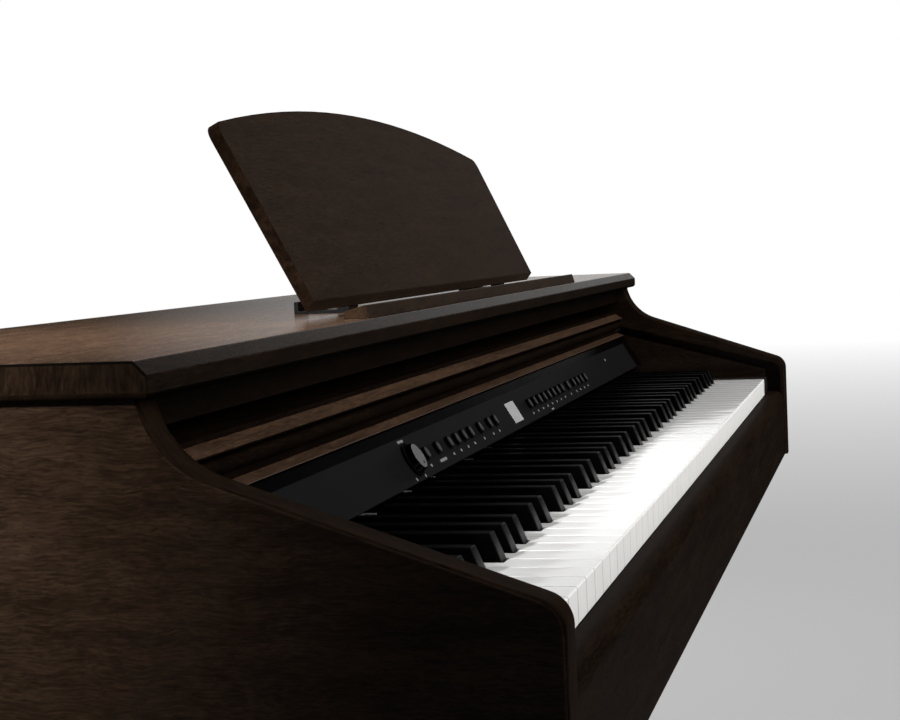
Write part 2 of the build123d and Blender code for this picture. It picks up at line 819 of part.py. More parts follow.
# Buttons: oval caps with a flange behind the panel and a stem over the switch.
flange_front = panel_wall + button_flange_gap
flange_rear = flange_front + button_flange_thickness
stem_end = flange_rear + button_stem_length
for node_name, places in button_groups.items():
    with BuildPart() as buttons:
        with BuildSketch(panel_face.offset(-flange_front)):
            with Locations(*[(x, button_row_rise) for x in places]):
                Ellipse(button_width / 2, button_height / 2)
        extrude(amount=flange_front + faceplate_thickness + button_stand)
        fillet(buttons.edges().group_by(panel_axis)[-1], button_edge)
        with BuildSketch(panel_face.offset(-flange_front)):
            with Locations(*[(x, button_row_rise) for x in places]):
                Ellipse(button_width / 2 + button_flange, button_height / 2 + button_flange)
        extrude(amount=-button_flange_thickness)
        with BuildSketch(panel_face.offset(-flange_rear)):
            with Locations(*[(x, button_row_rise) for x in places]):
                Rectangle(button_stem, button_stem)
        extrude(amount=-button_stem_length)
    buttons.part.label = node_name
    export_step(buttons.part, "parts/" + node_name + ".step")

# Circuit board behind the panel, with one push switch under each button.
switch_height = board_depth - stem_end - button_travel - button_stop_gap
with BuildPart() as panel_circuit_board:
    with BuildSketch(panel_face.offset(-board_depth)):
        with Locations((board_left, button_row_rise)):
            Rectangle(board_right - board_left, board_height, align=(Align.MIN, Align.CENTER))
        with Locations((knob_x, button_row_rise)):
            Circle(pot_bush_radius + pot_bush_gap, mode=Mode.SUBTRACT)
    extrude(amount=-board_thickness)
    with BuildSketch(panel_face.offset(-board_depth)):
        with Locations(*button_places):
            Rectangle(switch_width, switch_width)
    extrude(amount=switch_height)
panel_circuit_board.part.label = "panel_circuit_board"
export_step(panel_circuit_board.part, "parts/panel_circuit_board.step")

# Volume control: a potentiometer on the back of the board, its bush and shaft through the panel.
board_back = board_depth + board_thickness
knob_foot = faceplate_thickness + knob_gap
with BuildPart() as volume_pot:
    with BuildSketch(panel_face.offset(-board_back)):
        with Locations((knob_x, button_row_rise)):
            Circle(pot_body_radius)
    extrude(amount=-pot_body_depth)
    with BuildSketch(panel_face.offset(-board_back)):
        with Locations((knob_x, button_row_rise)):
            Circle(pot_bush_radius)
    extrude(amount=board_back)
    with BuildSketch(panel_face):
        with Locations((knob_x, button_row_rise)):
            Circle(pot_shaft_radius)
    extrude(amount=knob_foot + knob_bore_depth - pot_shaft_end_gap)
volume_pot.part.label = "volume_pot"
export_step(volume_pot.part, "parts/volume_pot.step")

with BuildPart() as volume_knob:
    with BuildSketch(panel_face.offset(knob_foot)):
        with Locations((knob_x, button_row_rise)):
            Circle(knob_flange_radius)
    extrude(amount=knob_flange_thickness)
    with BuildSketch(panel_face.offset(knob_foot + knob_flange_thickness)):
        with Locations((knob_x, button_row_rise)):
            Circle(knob_radius)
    extrude(amount=knob_height - knob_flange_thickness, taper=knob_taper)
    with BuildSketch(panel_face.offset(knob_foot)):
        with Locations((knob_x, button_row_rise)):
            Circle(pot_shaft_radius + pot_shaft_gap)
    extrude(amount=knob_bore_depth, mode=Mode.SUBTRACT)
    with BuildSketch(panel_face.offset(knob_foot + knob_height)):
        with Locations((knob_x, button_row_rise)):
            Circle(knob_cap_radius)
    extrude(amount=-knob_cap_thickness, mode=Mode.SUBTRACT)
volume_knob.part.label = "volume_knob"
export_step(volume_knob.part, "parts/volume_knob.step")

with BuildPart() as knob_cap:
    with BuildSketch(panel_face.offset(knob_foot + knob_height - knob_cap_thickness)):
        with Locations((knob_x, button_row_rise)):
            Circle(knob_cap_radius)
    extrude(amount=knob_cap_thickness)
knob_cap.part.label = "knob_cap"
export_step(knob_cap.part, "parts/knob_cap.step")

# Music rest: an arched board that leans back, its edges eased all round. Its foot is bevelled,
# so only the rear corner comes down near the lid.
lean_cos = cos(radians(rest_lean))
lean_sin = sin(radians(rest_lean))
rest_face = Plane(
    origin=(0, key_front_y + rest_front_back, lid_top_z + rest_front_over_lid),
    x_dir=(1, 0, 0),
    z_dir=(0, -lean_cos, lean_sin),
)
rest_end = Plane(origin=rest_face.origin, x_dir=(0, lean_cos, -lean_sin), z_dir=(1, 0, 0))
rest_axis_depth = rest_thickness + rest_axis_behind
rest_axis_up = (rest_axis_over_lid - rest_front_over_lid + rest_axis_depth * lean_sin) / lean_cos
rest_axis_y = key_front_y + rest_front_back + rest_axis_depth * lean_cos + rest_axis_up * lean_sin
rest_axis_z = lid_top_z + rest_axis_over_lid
with BuildPart() as music_rest:
    with BuildSketch(rest_face) as rest_outline:
        with BuildLine():
            Polyline(
                (-rest_top_half, rest_side_height),
                (-rest_bottom_half, -rest_foot_bevel),
                (rest_bottom_half, -rest_foot_bevel),
                (rest_top_half, rest_side_height),
            )
            ThreePointArc(
                (rest_top_half, rest_side_height),
                (0, rest_side_height + rest_crown),
                (-rest_top_half, rest_side_height),
            )
        make_face()
        fillet(rest_outline.vertices().group_by(Axis.Y)[-1], rest_corner_radius)
    extrude(amount=-rest_thickness)
    with BuildSketch(rest_end.offset(-rest_top_half)):
        with BuildLine():
            Polyline(
                (0, 0),
                (0, -rest_foot_bevel),
                (rest_thickness, -rest_foot_bevel),
                close=True,
            )
        make_face()
    extrude(amount=2 * rest_top_half, mode=Mode.SUBTRACT)
    rest_arrises = music_rest.edges().group_by(Axis(rest_face.origin, rest_face.z_dir))
    fillet(rest_arrises[0] + rest_arrises[-1], rest_edge_radius)
music_rest.part.label = "music_rest"
export_step(music_rest.part, "parts/music_rest.step")

# Hinge brackets on the lid: two ears and a pin each, behind the foot of the rest. The lug at the
# rear of each base carries the rest when it is folded down.
hinge_x = rest_bottom_half - hinge_inset
knuckle_half = hinge_width / 2
ear_inner = knuckle_half + hinge_ear_gap
ear_outer = ear_inner + hinge_ear
with BuildPart() as rest_hinge_brackets:
    for side in (-1, 1):
        with BuildSketch(Plane.YZ.offset(side * hinge_x - ear_outer)):
            with Locations((rest_axis_y, rest_axis_z)):
                Circle(hinge_knuckle_radius)
            with Locations((rest_axis_y - hinge_knuckle_radius, lid_top_z)):
                Rectangle(2 * hinge_knuckle_radius, rest_axis_over_lid, align=(Align.MIN, Align.MIN))
                Rectangle(hinge_base_depth, hinge_base_thickness, align=(Align.MIN, Align.MIN))
            with Locations((rest_axis_y - hinge_knuckle_radius + hinge_base_depth, lid_top_z)):
                Rectangle(hinge_lug_thickness, hinge_lug_height, align=(Align.MAX, Align.MIN))
        extrude(amount=2 * ear_outer)
        with BuildSketch(Plane.YZ.offset(side * hinge_x - ear_inner)):
            with Locations((rest_axis_y, lid_top_z)):
                Rectangle(
                    2 * (hinge_knuckle_radius + hinge_ear_gap),
                    rest_axis_over_lid + 2 * hinge_knuckle_radius,
                    align=(Align.CENTER, Align.MIN),
                )
        extrude(amount=2 * ear_inner, mode=Mode.SUBTRACT)
        with BuildSketch(Plane.YZ.offset(side * hinge_x - ear_outer)):
            with Locations((rest_axis_y, rest_axis_z)):
                Circle(hinge_pin_radius)
        extrude(amount=2 * ear_outer)
rest_hinge_brackets.part.label = "rest_hinge_brackets"
export_step(rest_hinge_brackets.part, "parts/rest_hinge_brackets.step")

# Leaves on the back of the rest: a knuckle on each hinge pin, and the eared clip of the stay.
# The line through the hinge axis, parallel to the board, carries the stay's axis too.
rest_line = Plane(origin=(0, rest_axis_y, rest_axis_z), x_dir=(0, lean_cos, -lean_sin), z_dir=(1, 0, 0))
stay_half = stay_width / 2
clip_inner = stay_half + hinge_ear_gap
clip_outer = clip_inner + hinge_ear
with BuildPart() as rest_hinge_leaves:
    for side in (-1, 1):
        with BuildSketch(rest_line.offset(side * hinge_x - knuckle_half)):
            Circle(hinge_knuckle_radius)
            with Locations((-rest_axis_behind, 0)):
                Rectangle(rest_axis_behind, hinge_knuckle_radius, align=(Align.MIN, Align.MIN))
                Rectangle(hinge_leaf_thickness, hinge_leaf_height, align=(Align.MIN, Align.MIN))
            Circle(hinge_pin_radius + hinge_pin_gap, mode=Mode.SUBTRACT)
        extrude(amount=2 * knuckle_half)
    for side in (-1, 1):
        with BuildSketch(rest_line.offset(side * clip_inner)):
            with Locations((0, stay_length)):
                Circle(hinge_knuckle_radius)
                Rectangle(rest_axis_behind, 2 * hinge_knuckle_radius, align=(Align.MAX, Align.CENTER))
        extrude(amount=side * hinge_ear)
    with BuildSketch(rest_line.offset(-clip_outer)):
        with Locations((0, stay_length)):
            Circle(hinge_pin_radius)
    extrude(amount=2 * clip_outer)
rest_hinge_leaves.part.label = "rest_hinge_leaves"
export_step(rest_hinge_leaves.part, "parts/rest_hinge_leaves.step")

# Stay: a flap as long as its distance from the hinge, so its foot keeps to the lid
# while the rest folds down.
stay_axis_y = rest_axis_y + stay_length * lean_sin
stay_axis_z = rest_axis_z + stay_length * lean_cos
stay_line = Plane(origin=(0, stay_axis_y, stay_axis_z), x_dir=(0, lean_cos, lean_sin), z_dir=(1, 0, 0))
with BuildPart() as rest_stay:
    with BuildSketch(stay_line.offset(-stay_half)):
        Circle(hinge_knuckle_radius)
        Rectangle(stay_thickness, stay_length, align=(Align.CENTER, Align.MAX))
        with Locations((0, -stay_length)):
            Circle(stay_foot_radius)
        Circle(hinge_pin_radius + hinge_pin_gap, mode=Mode.SUBTRACT)
    extrude(amount=stay_width)
rest_stay.part.label = "rest_stay"
export_step(rest_stay.part, "parts/rest_stay.step")

# Ledge: the wedge-shaped strip along the lid that stops the books from sliding off.
ledge_y = key_front_y + ledge_front_back
with BuildPart() as music_ledge:
    with BuildSketch(Plane.YZ.offset(-ledge_length / 2)):
        with BuildLine():
            FilletPolyline(
                (ledge_y, lid_top_z),
                (ledge_y + ledge_front_lean, lid_top_z + ledge_height),
                (ledge_y + ledge_width, lid_top_z + ledge_rear_height),
                (ledge_y + ledge_width, lid_top_z),
                radius=ledge_edge_radius,
            )
            Line((ledge_y + ledge_width, lid_top_z), (ledge_y, lid_top_z))
        make_face()
    extrude(amount=ledge_length)
music_ledge.part.label = "music_ledge"
export_step(music_ledge.part, "parts/music_ledge.step")

# Speakers: two round drivers that face down through the slots of the keybed.
cone_top_z = keybed_top_z + speaker_flange + speaker_cone_height
with BuildPart() as speakers:
    with BuildSketch(Plane.XZ.offset(-rear_bay_y)):
        with BuildLine():
            Polyline(
                (speaker_x, keybed_top_z),
                (speaker_x + speaker_flange_radius, keybed_top_z),
                (speaker_x + speaker_flange_radius, keybed_top_z + speaker_flange),
                (speaker_x + speaker_cone_radius, keybed_top_z + speaker_flange),
                (speaker_x + speaker_neck_radius, cone_top_z),
                (speaker_x + speaker_magnet_radius, cone_top_z),
                (speaker_x + speaker_magnet_radius, cone_top_z + speaker_magnet_height),
                (speaker_x, cone_top_z + speaker_magnet_height),
                close=True,
            )
        make_face()
    revolve(axis=Axis((speaker_x, rear_bay_y, 0), (0, 0, 1)))
    mirror(about=Plane.YZ)
speakers.part.label = "speakers"
export_step(speakers.part, "parts/speakers.step")

# Main circuit board on four posts behind the keys.
post_x = main_board_width - 2 * main_board_post_inset
post_y = main_board_depth - 2 * main_board_post_inset
with BuildPart() as main_circuit_board:
    with BuildSketch(Plane.XY.offset(keybed_top_z + main_board_post)):
        with Locations((0, rear_bay_y)):
            Rectangle(main_board_width, main_board_depth)
    extrude(amount=board_thickness)
    with BuildSketch(Plane.XY.offset(keybed_top_z)):
        with Locations((0, rear_bay_y)):
            with GridLocations(post_x, post_y, 2, 2):
                Circle(main_board_post_radius)
    extrude(amount=main_board_post)
main_circuit_board.part.label = "main_circuit_board"
export_step(main_circuit_board.part, "parts/main_circuit_board.step")

# Stand: two legs under the cheeks, on long feet.
board_rear_y = leg_rear_y - stand_board_inset
board_front_y = board_rear_y - stand_board_thickness
pedal_box_y = board_rear_y - pedal_box_depth
pedal_box_top = pedal_box_bottom + pedal_box_height
stand_board_top = pedal_box_top + stand_board_height
board_bolt_y = (board_front_y + board_rear_y) / 2
box_bolt_y = pedal_box_y + pedal_box_wall / 2
bolt_places = [
    (board_bolt_y, pedal_box_top + board_bolt_inset),
    (board_bolt_y, stand_board_top - board_bolt_inset),
    (box_bolt_y, pedal_box_bottom + box_bolt_inset),
    (box_bolt_y, pedal_box_top - box_bolt_inset),
]
with BuildPart() as left_leg:
    span_box((-cheek_outer_x, -leg_inner_x), (leg_front_y, leg_rear_y), (foot_height, cheek_bottom_z))
    fillet(left_leg.edges().filter_by(Axis.Z).group_by(Axis.Y)[0], leg_edge_radius)
    with BuildSketch(Plane.YZ.offset(-cheek_outer_x)):
        with Locations(*bolt_places):
            Circle(bolt_radius + bolt_gap)
    extrude(amount=leg_thickness, mode=Mode.SUBTRACT)
    with BuildSketch(Plane.YZ.offset(-cheek_outer_x)):
        with Locations(*bolt_places):
            Circle(bolt_head_radius + bolt_head_gap)
    extrude(amount=bolt_head, mode=Mode.SUBTRACT)
left_leg.part.label = "left_leg"
export_step(left_leg.part, "parts/left_leg.step")

with BuildPart() as right_leg:
    mirror(left_leg.part, about=Plane.YZ)
right_leg.part.label = "right_leg"
export_step(right_leg.part, "parts/right_leg.step")

foot_outer_x = cheek_outer_x + foot_outer_step
with BuildPart() as left_foot:
    with BuildSketch(Plane.YZ.offset(-foot_outer_x)):
        with BuildLine():
            FilletPolyline(
                (case_rear_y - foot_rear_inset, 0),
                (case_rear_y - foot_rear_inset, foot_height),
                (key_front_y + foot_front_back, foot_height),
                (key_front_y + foot_front_back, 0),
                radius=[0, foot_toe_radius],
            )
            Line((key_front_y + foot_front_back, 0), (case_rear_y - foot_rear_inset, 0))
        make_face()
    extrude(amount=foot_width)
    side_edges = left_foot.edges().filter_by(Axis.X, reverse=True)
    toe_limit = key_front_y + foot_front_back + foot_toe_radius
    fillet(side_edges.filter_by_position(Axis.Y, key_front_y, toe_limit), foot_edge_radius)
left_foot.part.label = "left_foot"
export_step(left_foot.part, "parts/left_foot.step")

with BuildPart() as right_foot:
    mirror(left_foot.part, about=Plane.YZ)
right_foot.part.label = "right_foot"
export_step(right_foot.part, "parts/right_foot.step")

# Leg brackets: steel angles that hold the case on the legs.
bracket_y = (leg_front_y + leg_rear_y) / 2
with BuildPart() as leg_brackets:
    with BuildSketch(Plane.XZ.offset(-bracket_y)):
        with BuildLine():
            FilletPolyline(
                (leg_inner_x, cheek_bottom_z - bracket_reach),
                (leg_inner_x, cheek_bottom_z),
                (leg_inner_x - bracket_reach, cheek_bottom_z),
                (leg_inner_x - bracket_reach, cheek_bottom_z - bracket_thickness),
                (leg_inner_x - bracket_thickness, cheek_bottom_z - bracket_thickness),
                (leg_inner_x - bracket_thickness, cheek_bottom_z - bracket_reach),
                radius=[0, 0, 0, bracket_bend_radius],
            )
            Line(
                (leg_inner_x - bracket_thickness, cheek_bottom_z - bracket_reach),
                (leg_inner_x, cheek_bottom_z - bracket_reach),
            )
        make_face()
    extrude(amount=bracket_width / 2, both=True)
    mirror(about=Plane.YZ)
leg_brackets.part.label = "leg_brackets"
export_step(leg_brackets.part, "parts/leg_brackets.step")

# Back board of the stand, between the legs, on top of the pedal box.
bolt_reach = bolt_length - (leg_thickness - bolt_head)
with BuildPart() as stand_back_board:
    span_box((-leg_inner_x, leg_inner_x), (board_front_y, board_rear_y), (pedal_box_top, stand_board_top))
    for side in (-1, 1):
        with BuildSketch(Plane.YZ.offset(side * leg_inner_x)):
            with Locations(*bolt_places[:2]):
                Circle(bolt_radius + bolt_gap)
        extrude(amount=-side * bolt_reach, mode=Mode.SUBTRACT)
stand_back_board.part.label = "stand_back_board"
export_step(stand_back_board.part, "parts/stand_back_board.step")

# Pedal box: a rail open at the back, with a slot for each pedal and two bearing ribs inside.
pedal_axis_y = pedal_box_y + pedal_axis_inset
pedal_axis_z = pedal_box_bottom + pedal_axis_rise
pedal_places = [-pedal_spacing, 0, pedal_spacing]
slot_reach = pedal_axis_y - pedal_box_y
slot_drop = slot_reach * tan(radians(pedal_angle)) + pedal_slot_top
slot_top_z = pedal_axis_z + pedal_thickness / 2 + pedal_slot_top
slot_bottom_z = pedal_axis_z - pedal_thickness / 2 - slot_drop
adjuster_y = pedal_box_y + adjuster_inset
with BuildPart() as pedal_box:
    with BuildSketch(Plane.YZ.offset(-leg_inner_x)):
        with BuildLine():
            Polyline(
                (pedal_box_y + pedal_box_depth, pedal_box_bottom),
                (pedal_box_y, pedal_box_bottom),
                (pedal_box_y, pedal_box_top),
                (pedal_box_y + pedal_box_depth, pedal_box_top),
            )
            offset(amount=pedal_box_wall, side=Side.RIGHT, kind=Kind.INTERSECTION)
        make_face()
    extrude(amount=2 * leg_inner_x)
    for side in (-1, 1):
        rib = sorted((side * (bearing_rib_reach - bearing_rib), side * bearing_rib_reach))
        span_box(
            rib,
            (pedal_box_y, pedal_box_y + pedal_box_depth),
            (pedal_box_bottom, pedal_box_top),
        )
    with BuildSketch(Plane.YZ.offset(-bearing_rib_reach)):
        with Locations((pedal_axis_y, pedal_axis_z)):
            Circle(pedal_shaft_radius + pedal_shaft_seat_gap)
    extrude(amount=2 * bearing_rib_reach, mode=Mode.SUBTRACT)
    with BuildSketch(Plane.XZ.offset(-pedal_box_y)):
        with Locations(*[(x, (slot_top_z + slot_bottom_z) / 2) for x in pedal_places]):
            Rectangle(pedal_neck_width + 2 * pedal_slot_side, slot_top_z - slot_bottom_z)
    extrude(amount=-pedal_box_wall, mode=Mode.SUBTRACT)
    with BuildSketch(Plane.XY.offset(pedal_box_bottom)):
        with Locations((0, adjuster_y)):
            Circle(adjuster_stem_radius + adjuster_stem_gap)
    extrude(amount=pedal_box_wall, mode=Mode.SUBTRACT)
    for side in (-1, 1):
        with BuildSketch(Plane.YZ.offset(side * leg_inner_x)):
            with Locations(*bolt_places[2:]):
                Circle(bolt_radius + bolt_gap)
        extrude(amount=-side * bolt_reach, mode=Mode.SUBTRACT)
pedal_box.part.label = "pedal_box"
export_step(pedal_box.part, "parts/pedal_box.step")

with BuildPart() as pedal_shaft:
    with BuildSketch(Plane.YZ.offset(-bearing_rib_reach)):
        with Locations((pedal_axis_y, pedal_axis_z)):
            Circle(pedal_shaft_radius)
    extrude(amount=2 * bearing_rib_reach)
pedal_shaft.part.label = "pedal_shaft"
export_step(pedal_shaft.part, "parts/pedal_shaft.step")

# Pedals: cast levers with a narrow neck and a wide round toe, each on a boss round the shaft.
toe_tip_y = pedal_box_y - pedal_reach
toe_middle_y = toe_tip_y + pedal_toe_width / 2
neck_front_y = toe_tip_y + pedal_toe_length
for node_name, pedal_x in zip(("left_pedal", "middle_pedal", "right_pedal"), pedal_places):
    with BuildPart() as pedal:
        with BuildSketch(Plane.XY.offset(pedal_axis_z - pedal_thickness / 2)):
            with BuildLine():
                Line(
                    (pedal_x - pedal_neck_width / 2, pedal_axis_y),
                    (pedal_x + pedal_neck_width / 2, pedal_axis_y),
                )
                Polyline(
                    (pedal_x + pedal_neck_width / 2, pedal_axis_y),
                    (pedal_x + pedal_neck_width / 2, neck_front_y),
                    (pedal_x + pedal_toe_width / 2, toe_middle_y),
                )
                ThreePointArc(
                    (pedal_x + pedal_toe_width / 2, toe_middle_y),
                    (pedal_x, toe_tip_y),
                    (pedal_x - pedal_toe_width / 2, toe_middle_y),
                )
                Polyline(
                    (pedal_x - pedal_toe_width / 2, toe_middle_y),
                    (pedal_x - pedal_neck_width / 2, neck_front_y),
                    (pedal_x - pedal_neck_width / 2, pedal_axis_y),
                )
            make_face()
        extrude(amount=pedal_thickness)
        pedal_arrises = pedal.faces().sort_by(Axis.Z)[-1].edges().sort_by(Axis.Y)[:-1]
        fillet(pedal_arrises, pedal_edge_radius)
        with BuildSketch(Plane.YZ.offset(pedal_x - pedal_boss_width / 2)):
            with Locations((pedal_axis_y, pedal_axis_z)):
                Circle(pedal_boss_radius)
        extrude(amount=pedal_boss_width)
        with BuildSketch(Plane.YZ.offset(pedal_x - pedal_boss_width / 2)):
            with Locations((pedal_axis_y, pedal_axis_z)):
                Circle(pedal_shaft_radius + pedal_shaft_gap)
        extrude(amount=pedal_boss_width, mode=Mode.SUBTRACT)
    pedal.part.label = node_name
    export_step(pedal.part, "parts/" + node_name + ".step")

# Screw foot under the pedal box, wound down to the floor.
with BuildPart() as pedal_box_adjuster:
    with BuildSketch():
        with Locations((0, adjuster_y)):
            Circle(adjuster_radius)
    extrude(amount=adjuster_disc)
    chamfer(pedal_box_adjuster.edges().group_by(Axis.Z)[-1], adjuster_disc_edge)
    with BuildSketch():
        with Locations((0, adjuster_y)):
            Circle(adjuster_stem_radius)
    extrude(amount=pedal_box_bottom + adjuster_stem_top)
pedal_box_adjuster.part.label = "pedal_box_adjuster"
export_step(pedal_box_adjuster.part, "parts/pedal_box_adjuster.step")

# Bolts of the stand, with their heads sunk in the outer faces of the legs.
with BuildPart() as stand_bolts:
    for side in (-1, 1):
        with BuildSketch(Plane.YZ.offset(side * cheek_outer_x)):
            with Locations(*bolt_places):
                Circle(bolt_head_radius)
        extrude(amount=-side * bolt_head)
        with BuildSketch(Plane.YZ.offset(side * (cheek_outer_x - bolt_head))):
            with Locations(*bolt_places):
                Circle(bolt_radius)
        extrude(amount=-side * bolt_length)
stand_bolts.part.label = "stand_bolts"
export_step(stand_bolts.part, "parts/stand_bolts.step")
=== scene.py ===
import json
from math import cos, pi, radians, sin

import bmesh
import bpy
from mathutils import Matrix, Vector

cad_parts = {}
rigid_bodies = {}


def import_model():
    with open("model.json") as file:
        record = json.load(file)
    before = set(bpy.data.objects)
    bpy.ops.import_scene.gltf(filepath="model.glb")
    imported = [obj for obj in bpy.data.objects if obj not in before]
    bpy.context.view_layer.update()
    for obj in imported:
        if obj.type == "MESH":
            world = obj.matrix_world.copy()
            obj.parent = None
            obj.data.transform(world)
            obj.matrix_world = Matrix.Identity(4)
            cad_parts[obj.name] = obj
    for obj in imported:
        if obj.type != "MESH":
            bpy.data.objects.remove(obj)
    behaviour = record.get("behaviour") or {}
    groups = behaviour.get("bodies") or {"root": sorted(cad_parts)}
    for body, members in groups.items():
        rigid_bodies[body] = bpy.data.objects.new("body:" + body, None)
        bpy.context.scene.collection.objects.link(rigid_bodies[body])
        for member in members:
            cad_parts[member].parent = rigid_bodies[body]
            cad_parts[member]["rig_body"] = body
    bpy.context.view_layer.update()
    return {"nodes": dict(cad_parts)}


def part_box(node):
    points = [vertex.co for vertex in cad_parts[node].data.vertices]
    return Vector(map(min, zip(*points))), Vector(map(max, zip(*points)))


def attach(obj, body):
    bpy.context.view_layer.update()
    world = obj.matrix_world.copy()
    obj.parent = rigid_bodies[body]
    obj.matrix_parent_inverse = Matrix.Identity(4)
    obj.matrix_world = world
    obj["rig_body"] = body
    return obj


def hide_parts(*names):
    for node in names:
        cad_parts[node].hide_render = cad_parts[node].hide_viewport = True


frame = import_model()


# Feet: two long boards of dark rosewood laminate under the legs, rounded at the toe.
# The laminate has a fine wavy grain and small pores under a satin lacquer.
class Wire:
    """A socket among a finish's nodes; arithmetic on it adds Math nodes."""

    def __init__(self, tree, socket=None):
        self.tree = tree
        self.socket = socket

    def node(self, kind, settings, sockets, out=0):
        """Adds a node: its settings first, then the values or links of its sockets."""
        made = self.tree.nodes.new("ShaderNode" + kind)
        for name, value in settings.items():
            if name == "stops":
                while len(made.color_ramp.elements) < len(value):
                    made.color_ramp.elements.new(1.0)
                for stop, (place, shade) in zip(made.color_ramp.elements, value):
                    stop.position = place
                    stop.color = (*shade, 1.0)
            else:
                setattr(made, name, value)
        join(made, sockets)
        return Wire(self.tree, made.outputs[out])

    def maths(self, operation, first, second):
        return self.node("Math", {"operation": operation}, {0: first, 1: second})

    def __add__(self, other):
        return self.maths("ADD", self, other)

    def __sub__(self, other):
        return self.maths("SUBTRACT", self, other)

    def __rsub__(self, other):
        return self.maths("SUBTRACT", other, self)

    def __mul__(self, other):
        return self.maths("MULTIPLY", self, other)

    __radd__ = __add__
    __rmul__ = __mul__


def join(node, sockets):
    """Sets the sockets of a node, or links them."""
    for name, value in sockets.items():
        if isinstance(value, Wire):
            value.tree.links.new(value.socket, node.inputs[name])
        else:
            node.inputs[name].default_value = value


def new_finish(name):
    """An empty finish: its material, the place on the object, and its shader."""
    material = bpy.data.materials.new(name)
    material.use_nodes = True
    place = Wire(material.node_tree).node("TexCoord", {}, {}, out="Object")
    return material, place, material.node_tree.nodes["Principled BSDF"]


def noise(place, size, detail=2.0, stretch=(1, 1, 1)):
    """Soft noise about size metres across, longer along an axis that stretch shortens."""
    scaled = place.node("Mapping", {}, {"Vector": place, "Scale": stretch})
    return place.node("TexNoise", {}, {
        "Vector": scaled, "Scale": 1 / size, "Detail": detail, "Roughness": 0.6,
    })


def rise(value, low, high):
    """Goes from 0 to 1 as the value goes from low to high."""
    return value.node("MapRange", {}, {"Value": value, "From Min": low, "From Max": high})


def blend(share, first, second):
    """Goes from the first colour to the second as the share goes from 0 to 1."""
    return share.node("Mix", {"data_type": "RGBA"}, {0: share, 6: first, 7: second}, out=2)


def relief(height, depth):
    """A normal for a surface that is rough by about depth metres."""
    return height.node("Bump", {}, {"Height": height, "Distance": depth})


def rosewood(name, stretch, tint=1.0, polish=0.12, rough=0.30, figuring=1.0):
    """Dark rosewood laminate whose grain runs along the axes that stretch shortens."""
    heartwood = (0.0160, 0.0091, 0.0054)
    pore_brown = (0.0036, 0.0021, 0.0014, 1)
    wander = (0.006, 0.006, 0.006)
    material, place, shader = new_finish(name)
    sway = place.node("TexNoise", {}, {"Vector": place, "Scale": 45.0, "Detail": 2.0}, out="Color")
    swayed = place.node("VectorMath", {"operation": "MULTIPLY_ADD"}, {0: sway, 1: wander, 2: place})
    figure = noise(swayed, 0.009, 3.0, [part ** 0.65 for part in stretch])
    fibre = noise(swayed, 0.0009, 3.0, [part ** 0.85 for part in stretch])
    mottle = noise(swayed, 0.012, 3.0, [part ** 0.4 for part in stretch])
    pore = rise(noise(place, 0.0006, 1.0, [part ** 0.7 for part in stretch]), 0.60, 0.70)
    tone = figure * 0.33 + fibre * 0.57 + mottle * 0.10
    shades = [(stop, [tint * (1 + figuring * change) * part for part in heartwood])
              for stop, change in ((0.39, -0.50), (0.50, 0.0), (0.61, 0.70))]
    wood = tone.node("ValToRGB", {"stops": shades}, {"Fac": tone})
    join(shader, {
        "Base Color": blend(pore * 0.6, wood, pore_brown),
        "Roughness": fibre * 0.14 + figure * 0.06 + pore * 0.1 + rough,
        "Specular IOR Level": polish,
        "Normal": relief(fibre * 0.4 - pore * 0.5, 0.000012),
    })
    return material


def eased(node, ease, steps=2, limit=32.0):
    """A copy of a solid with its triangles joined into faces and its sharp edges eased."""
    shape = bmesh.new()
    shape.from_mesh(frame["nodes"][node].data)
    bmesh.ops.remove_doubles(shape, verts=shape.verts, dist=4e-6)
    bmesh.ops.dissolve_limit(
        shape, angle_limit=radians(0.3), verts=shape.verts, edges=shape.edges,
    )
    sharp = [edge for edge in shape.edges
             if edge.is_manifold and edge.calc_face_angle() > radians(limit)]
    bmesh.ops.bevel(
        shape, geom=sharp, offset=ease, offset_type="OFFSET", segments=steps,
        profile=0.5, affect="EDGES", clamp_overlap=True, material=-1,
    )
    return shape


def piece(name, shape, finishes, body, crease=38.0):
    """Makes a shape an object that moves with a body."""
    mesh = bpy.data.meshes.new(name)
    shape.to_mesh(mesh)
    shape.free()
    for finish in finishes:
        mesh.materials.append(finish)
    mesh.shade_smooth()
    mesh.set_sharp_from_angle(angle=radians(crease))
    thing = bpy.data.objects.new(name, mesh)
    bpy.context.scene.collection.objects.link(thing)
    thing.modifiers.new("even_shading", "WEIGHTED_NORMAL").keep_sharp = True
    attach(thing, body)
    return thing


def dress(node, shape, *finishes):
    """Makes a shape the finished form of a solid."""
    made = piece(node + "_finish", shape, finishes, frame["nodes"][node]["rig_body"])
    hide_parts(node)


grain = 0.055
wood_x = rosewood("rosewood_along_x", (grain, 1, 1))
wood_y = rosewood("rosewood_along_y", (1, grain, 1))
wood_z = rosewood("rosewood_along_z", (1, 1, grain))
# Edge band: laminate with its grain across the edge, made much darker and duller than the faces as
# painted shade.
wood_edge_band_painted_shade = rosewood("rosewood_edge_band_painted_shade", (1, grain, grain), tint=0.42, polish=0.01, rough=0.45)
for side in ("left", "right"):
    dress(side + "_foot", eased(side + "_foot", 0.0012), wood_y)


# Legs: upright boards of the same laminate, with an edge band on their narrow faces, made darker as
# painted shade.
# Bolts through them draw in the back board and the pedal box.
def banded(shape, axis):
    """Gives the faces that don't look along an axis the second finish: an edge band, darker as
    painted shade.
    """
    for face in shape.faces:
        face.material_index = 0 if abs(face.normal[axis]) > 0.8 else 1
    return shape


for side in ("left", "right"):
    dress(side + "_leg", banded(eased(side + "_leg", 0.0012), 0), wood_z, wood_edge_band_painted_shade)


